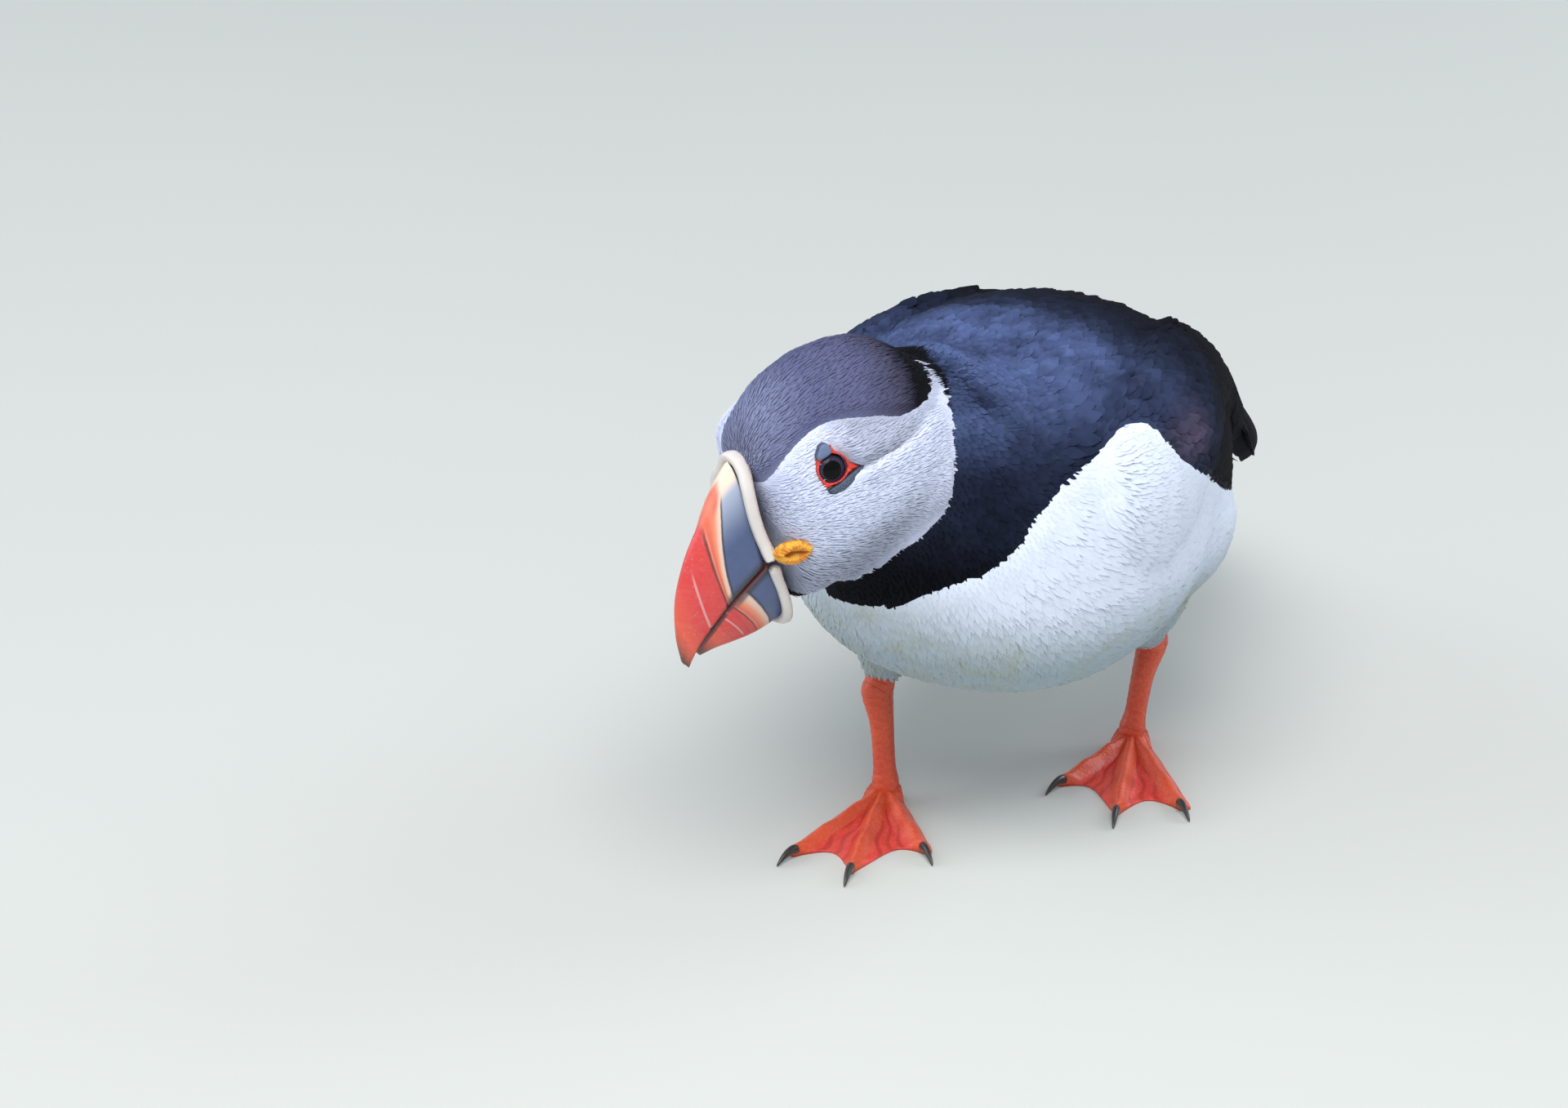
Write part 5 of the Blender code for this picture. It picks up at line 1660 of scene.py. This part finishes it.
def foot_top(spots, share):
    """Height, scale grooves and web mask of the top of the foot; share is the way out."""
    fan = np.arctan2(spots[:, 1], spots[:, 0])
    far = np.hypot(spots[:, 0], spots[:, 1])
    web_height = WEB_HEIGHT - (WEB_HEIGHT - WEB_RIM) * ramp(share, 0.3, 1.0)
    pleats = np.sin(fan * 55.0 + 1.5 * np.sin(far * 0.5))
    cross = 0.05 * np.sin(far * 3.1 + 2.0 * np.sin(fan * 9.0))
    height = web_height + 0.10 * pleats * ramp(far, 7.0, 15.0) + cross
    groove = 0.5 - 0.5 * pleats
    web = np.ones(len(spots))
    for turn, reach in TOES.values():
        toe = heading(turn)
        ahead = spots @ toe
        aside = spots[:, 0] * toe[1] - spots[:, 1] * toe[0]
        top = FOOT_HEIGHT - TOE_THINNING * np.maximum(ahead, 0.0) / (FOOT_LENGTH * reach)
        joint = 0.32 * np.cos(2 * pi * ahead / (FOOT_LENGTH * reach / 3.0)) * ramp(ahead, 5.0, 10.0)
        on_toe = bell((aside, 0.0, TOE_RADIUS + 0.25 * joint))
        level = scute(ahead + 0.25 * aside * aside / TOE_RADIUS, TOE_SCUTE_STEP)
        crest = (top + joint - web_height) * on_toe + 0.15 * (level - 0.6) * ramp(on_toe, 0.4, 0.8)
        height = np.maximum(height, web_height + crest)
        groove = np.where(on_toe > 0.35, 1.0 - level, groove)
        web = np.minimum(web, 1.0 - ramp(on_toe, 0.12, 0.5))
    pad = FOOT_HEIGHT * np.exp(-(far / PAD_RADIUS) ** 4)
    knobs = 0.16 * np.cos(spots[:, 0] * 4.6) * np.cos(spots[:, 1] * 4.6)
    web = np.minimum(web, 1.0 - ramp(pad, 0.8, 2.5))
    height = np.where(pad > height, pad + knobs, height)
    rim = 1.0 - ramp(share, 0.965, 1.0)
    return WEB_RIM * 0.8 + (height - WEB_RIM * 0.8) * (0.35 + 0.65 * rim), groove, web


def foot(word, finish):
    """Webbed foot with scaly toes, pleated webs and a flat sole."""
    at, forward, outer = foot_axes(word)
    turns = np.linspace(TOES["inner"][0] - WEB_MARGIN, TOES["outer"][0] + WEB_MARGIN, 150)
    out = np.linspace(0.0, 1.0, 84)
    spots = []
    for index, turn in enumerate(turns):
        fan = 2.0 * index / (len(turns) - 1) - 1.0
        back = np.array([-cos(fan * pi / 2), sin(fan * pi / 2)]) * FOOT_BACK
        spots.append(back + (heading(turn) * foot_edge(turn) - back) * out[:, None])
    spots = np.concatenate(spots)
    height, groove, web = foot_top(spots, np.tile(out, len(turns)))
    ground = at + spots[:, :1] * forward + spots[:, 1:] * outer
    points = np.concatenate([ground + (0, 0, 1) * height[:, None], ground])
    piece("webbed_foot_" + word, (points, two_sheets(len(turns), len(out))), finish, "leg_skin",
          ("foot_" + word,), groove=np.concatenate([groove, np.full(len(spots), 0.5)]),
          web=np.concatenate([web, web]))


def claw(word, toe, finish):
    """Curved black claw on the end of a toe."""
    at, forward, outer = foot_axes(word)
    turn, reach = TOES[toe]
    aim = forward * cos(radians(turn)) + outer * sin(radians(turn))
    side = np.array([-aim[1], aim[0], 0.0])
    start = at + aim * (FOOT_LENGTH * reach - 1.0)
    angles = around(24)
    rings = []
    for share, radius in through(np.array(CLAW_SHAPE), 6):
        rise = 1.75 + 0.55 * sin(pi * share) - 1.35 * share ** 2
        centre = start + aim * (share * (CLAW_LENGTH + 1.0)) + np.array((0, 0, rise))
        low = np.where(np.sin(angles) < 0, 0.8, 1.05) * np.sin(angles) * radius
        low = np.maximum(low, 0.05 - centre[2])
        rings.append(centre + np.outer(np.cos(angles) * radius * 0.78, side)
                     + np.outer(low, (0, 0, 1)))
    name = "claw_%s_%s" % (toe, word)
    piece("horn_" + name, lofted(rings), finish, "claw", (name,))


def leg_finish():
    """Orange-red scaly skin, pinker and finely creased on the webs."""
    graph = surface("leg_scaly_skin", (0.12, 0.0015, (1.0, 0.35, 0.2)), Coat_Weight=0.12,
                    Coat_Roughness=0.3, Specular_IOR_Level=0.45)
    cloud, grain, reticle = graph.noise(130.0, 4.0), graph.noise(1400.0, 3.0), graph.cells(1100.0)
    scaly = graph.mix(cloud, (0.58, 0.048, 0.016), (0.80, 0.125, 0.042))
    thin = graph.mix(cloud, (0.62, 0.038, 0.030), (0.82, 0.085, 0.060))
    colour = graph.mix(graph.value("web"), scaly, thin)
    lines = graph.value("groove").step(0.45, 0.95)
    colour = graph.mix(lines * 0.55, colour, (0.32, 0.022, 0.010))
    colour = graph.mix(reticle.step(0.35, 0.6) * 0.22, colour, (0.36, 0.03, 0.015))
    colour = graph.mix(grain.step(0.62, 0.80) * 0.35, colour, (0.80, 0.34, 0.22))
    return graph.finish(colour, cloud.step(0.3, 0.7, 0.36, 0.52), grain * 0.4 - reticle, 0.12, 0.7)


def claw_finish():
    """Glossy black horn."""
    graph = surface("claw_black_horn", Specular_IOR_Level=0.5, Coat_Weight=0.3,
                    Coat_Roughness=0.2)
    grain = graph.noise(900.0, 4.0, 0.7)
    colour = graph.mix(grain, (0.006, 0.005, 0.005), (0.040, 0.032, 0.028))
    return graph.finish(colour, grain.step(0.3, 0.7, 0.28, 0.5), grain, 0.08, 0.6)


def make_legs():
    """Shanks, webbed feet and claws."""
    skin, horn = leg_finish(), claw_finish()
    for word, _ in SIDES:
        tarsus(word, skin)
        foot(word, skin)
        for toe in TOES:
            claw(word, toe, horn)


# ---- making -------------------------------------------------------------------------

def set_camera():
    """Camera over the bird's left front, as far off as a long lens asks."""
    data = bpy.data.cameras.new("camera")
    data.lens = 121.875
    data.sensor_width = 36.0
    data.clip_start, data.clip_end = 0.05, 20.0
    camera = shown("camera", data)
    camera.location = np.array((428.13, -1056.45, 559.41)) * MM
    camera.rotation_euler = (radians(66.0), 0.0, radians(25.0))
    bpy.context.scene.camera = camera


def area_lamp(name, at, size, watts, colour):
    """Soft lamp that looks at the bird."""
    data = bpy.data.lights.new(name, "AREA")
    data.shape = "DISK"
    data.size = size
    data.energy = watts
    data.color = colour
    lamp = shown(name, data)
    lamp.location = at
    aim = Vector((0.0, 0.0, 0.07)) - Vector(at)
    lamp.rotation_euler = aim.to_track_quat("-Z", "Y").to_euler()


def light_studio():
    """Pale sky with a key, a fill and a rim lamp."""
    world = bpy.data.worlds.new("studio")
    world.use_nodes = True
    sky = world.node_tree.nodes["Background"].inputs
    sky["Color"].default_value = (0.86, 0.91, 1.0, 1.0)
    sky["Strength"].default_value = 0.62
    bpy.context.scene.world = world
    bpy.context.scene.view_settings.view_transform = "Standard"
    area_lamp("key", (0.25, -0.75, 1.35), 1.1, 22.0, (1.0, 0.98, 0.95))
    area_lamp("fill", (-1.2, -0.4, 0.7), 1.2, 6.0, (0.90, 0.95, 1.0))
    area_lamp("rim", (0.9, 1.1, 0.9), 0.9, 8.0, (0.92, 0.96, 1.0))


def lay_floor():
    """Pale floor under the bird, no part of it."""
    graph = surface("floor_pale")
    colour = graph.mix(graph.noise(1.5, 3.0), (0.50, 0.52, 0.50), (0.56, 0.58, 0.55))
    half = 3000.0
    corners = [(-half, -half, 0), (half, -half, 0), (half, half, 0), (-half, half, 0)]
    floor = piece("floor", (corners, [(0, 1, 2, 3)]), graph.finish(colour, 0.75))
    floor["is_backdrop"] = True


def main():
    set_camera()
    light_studio()
    lay_floor()
    skin = make_skin()
    dress(skin)
    make_quills(skin)
    make_bill()
    make_eyes()
    make_legs()
    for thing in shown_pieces():
        if thing.name not in frame["nodes"]:
            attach(thing, "root")


main()
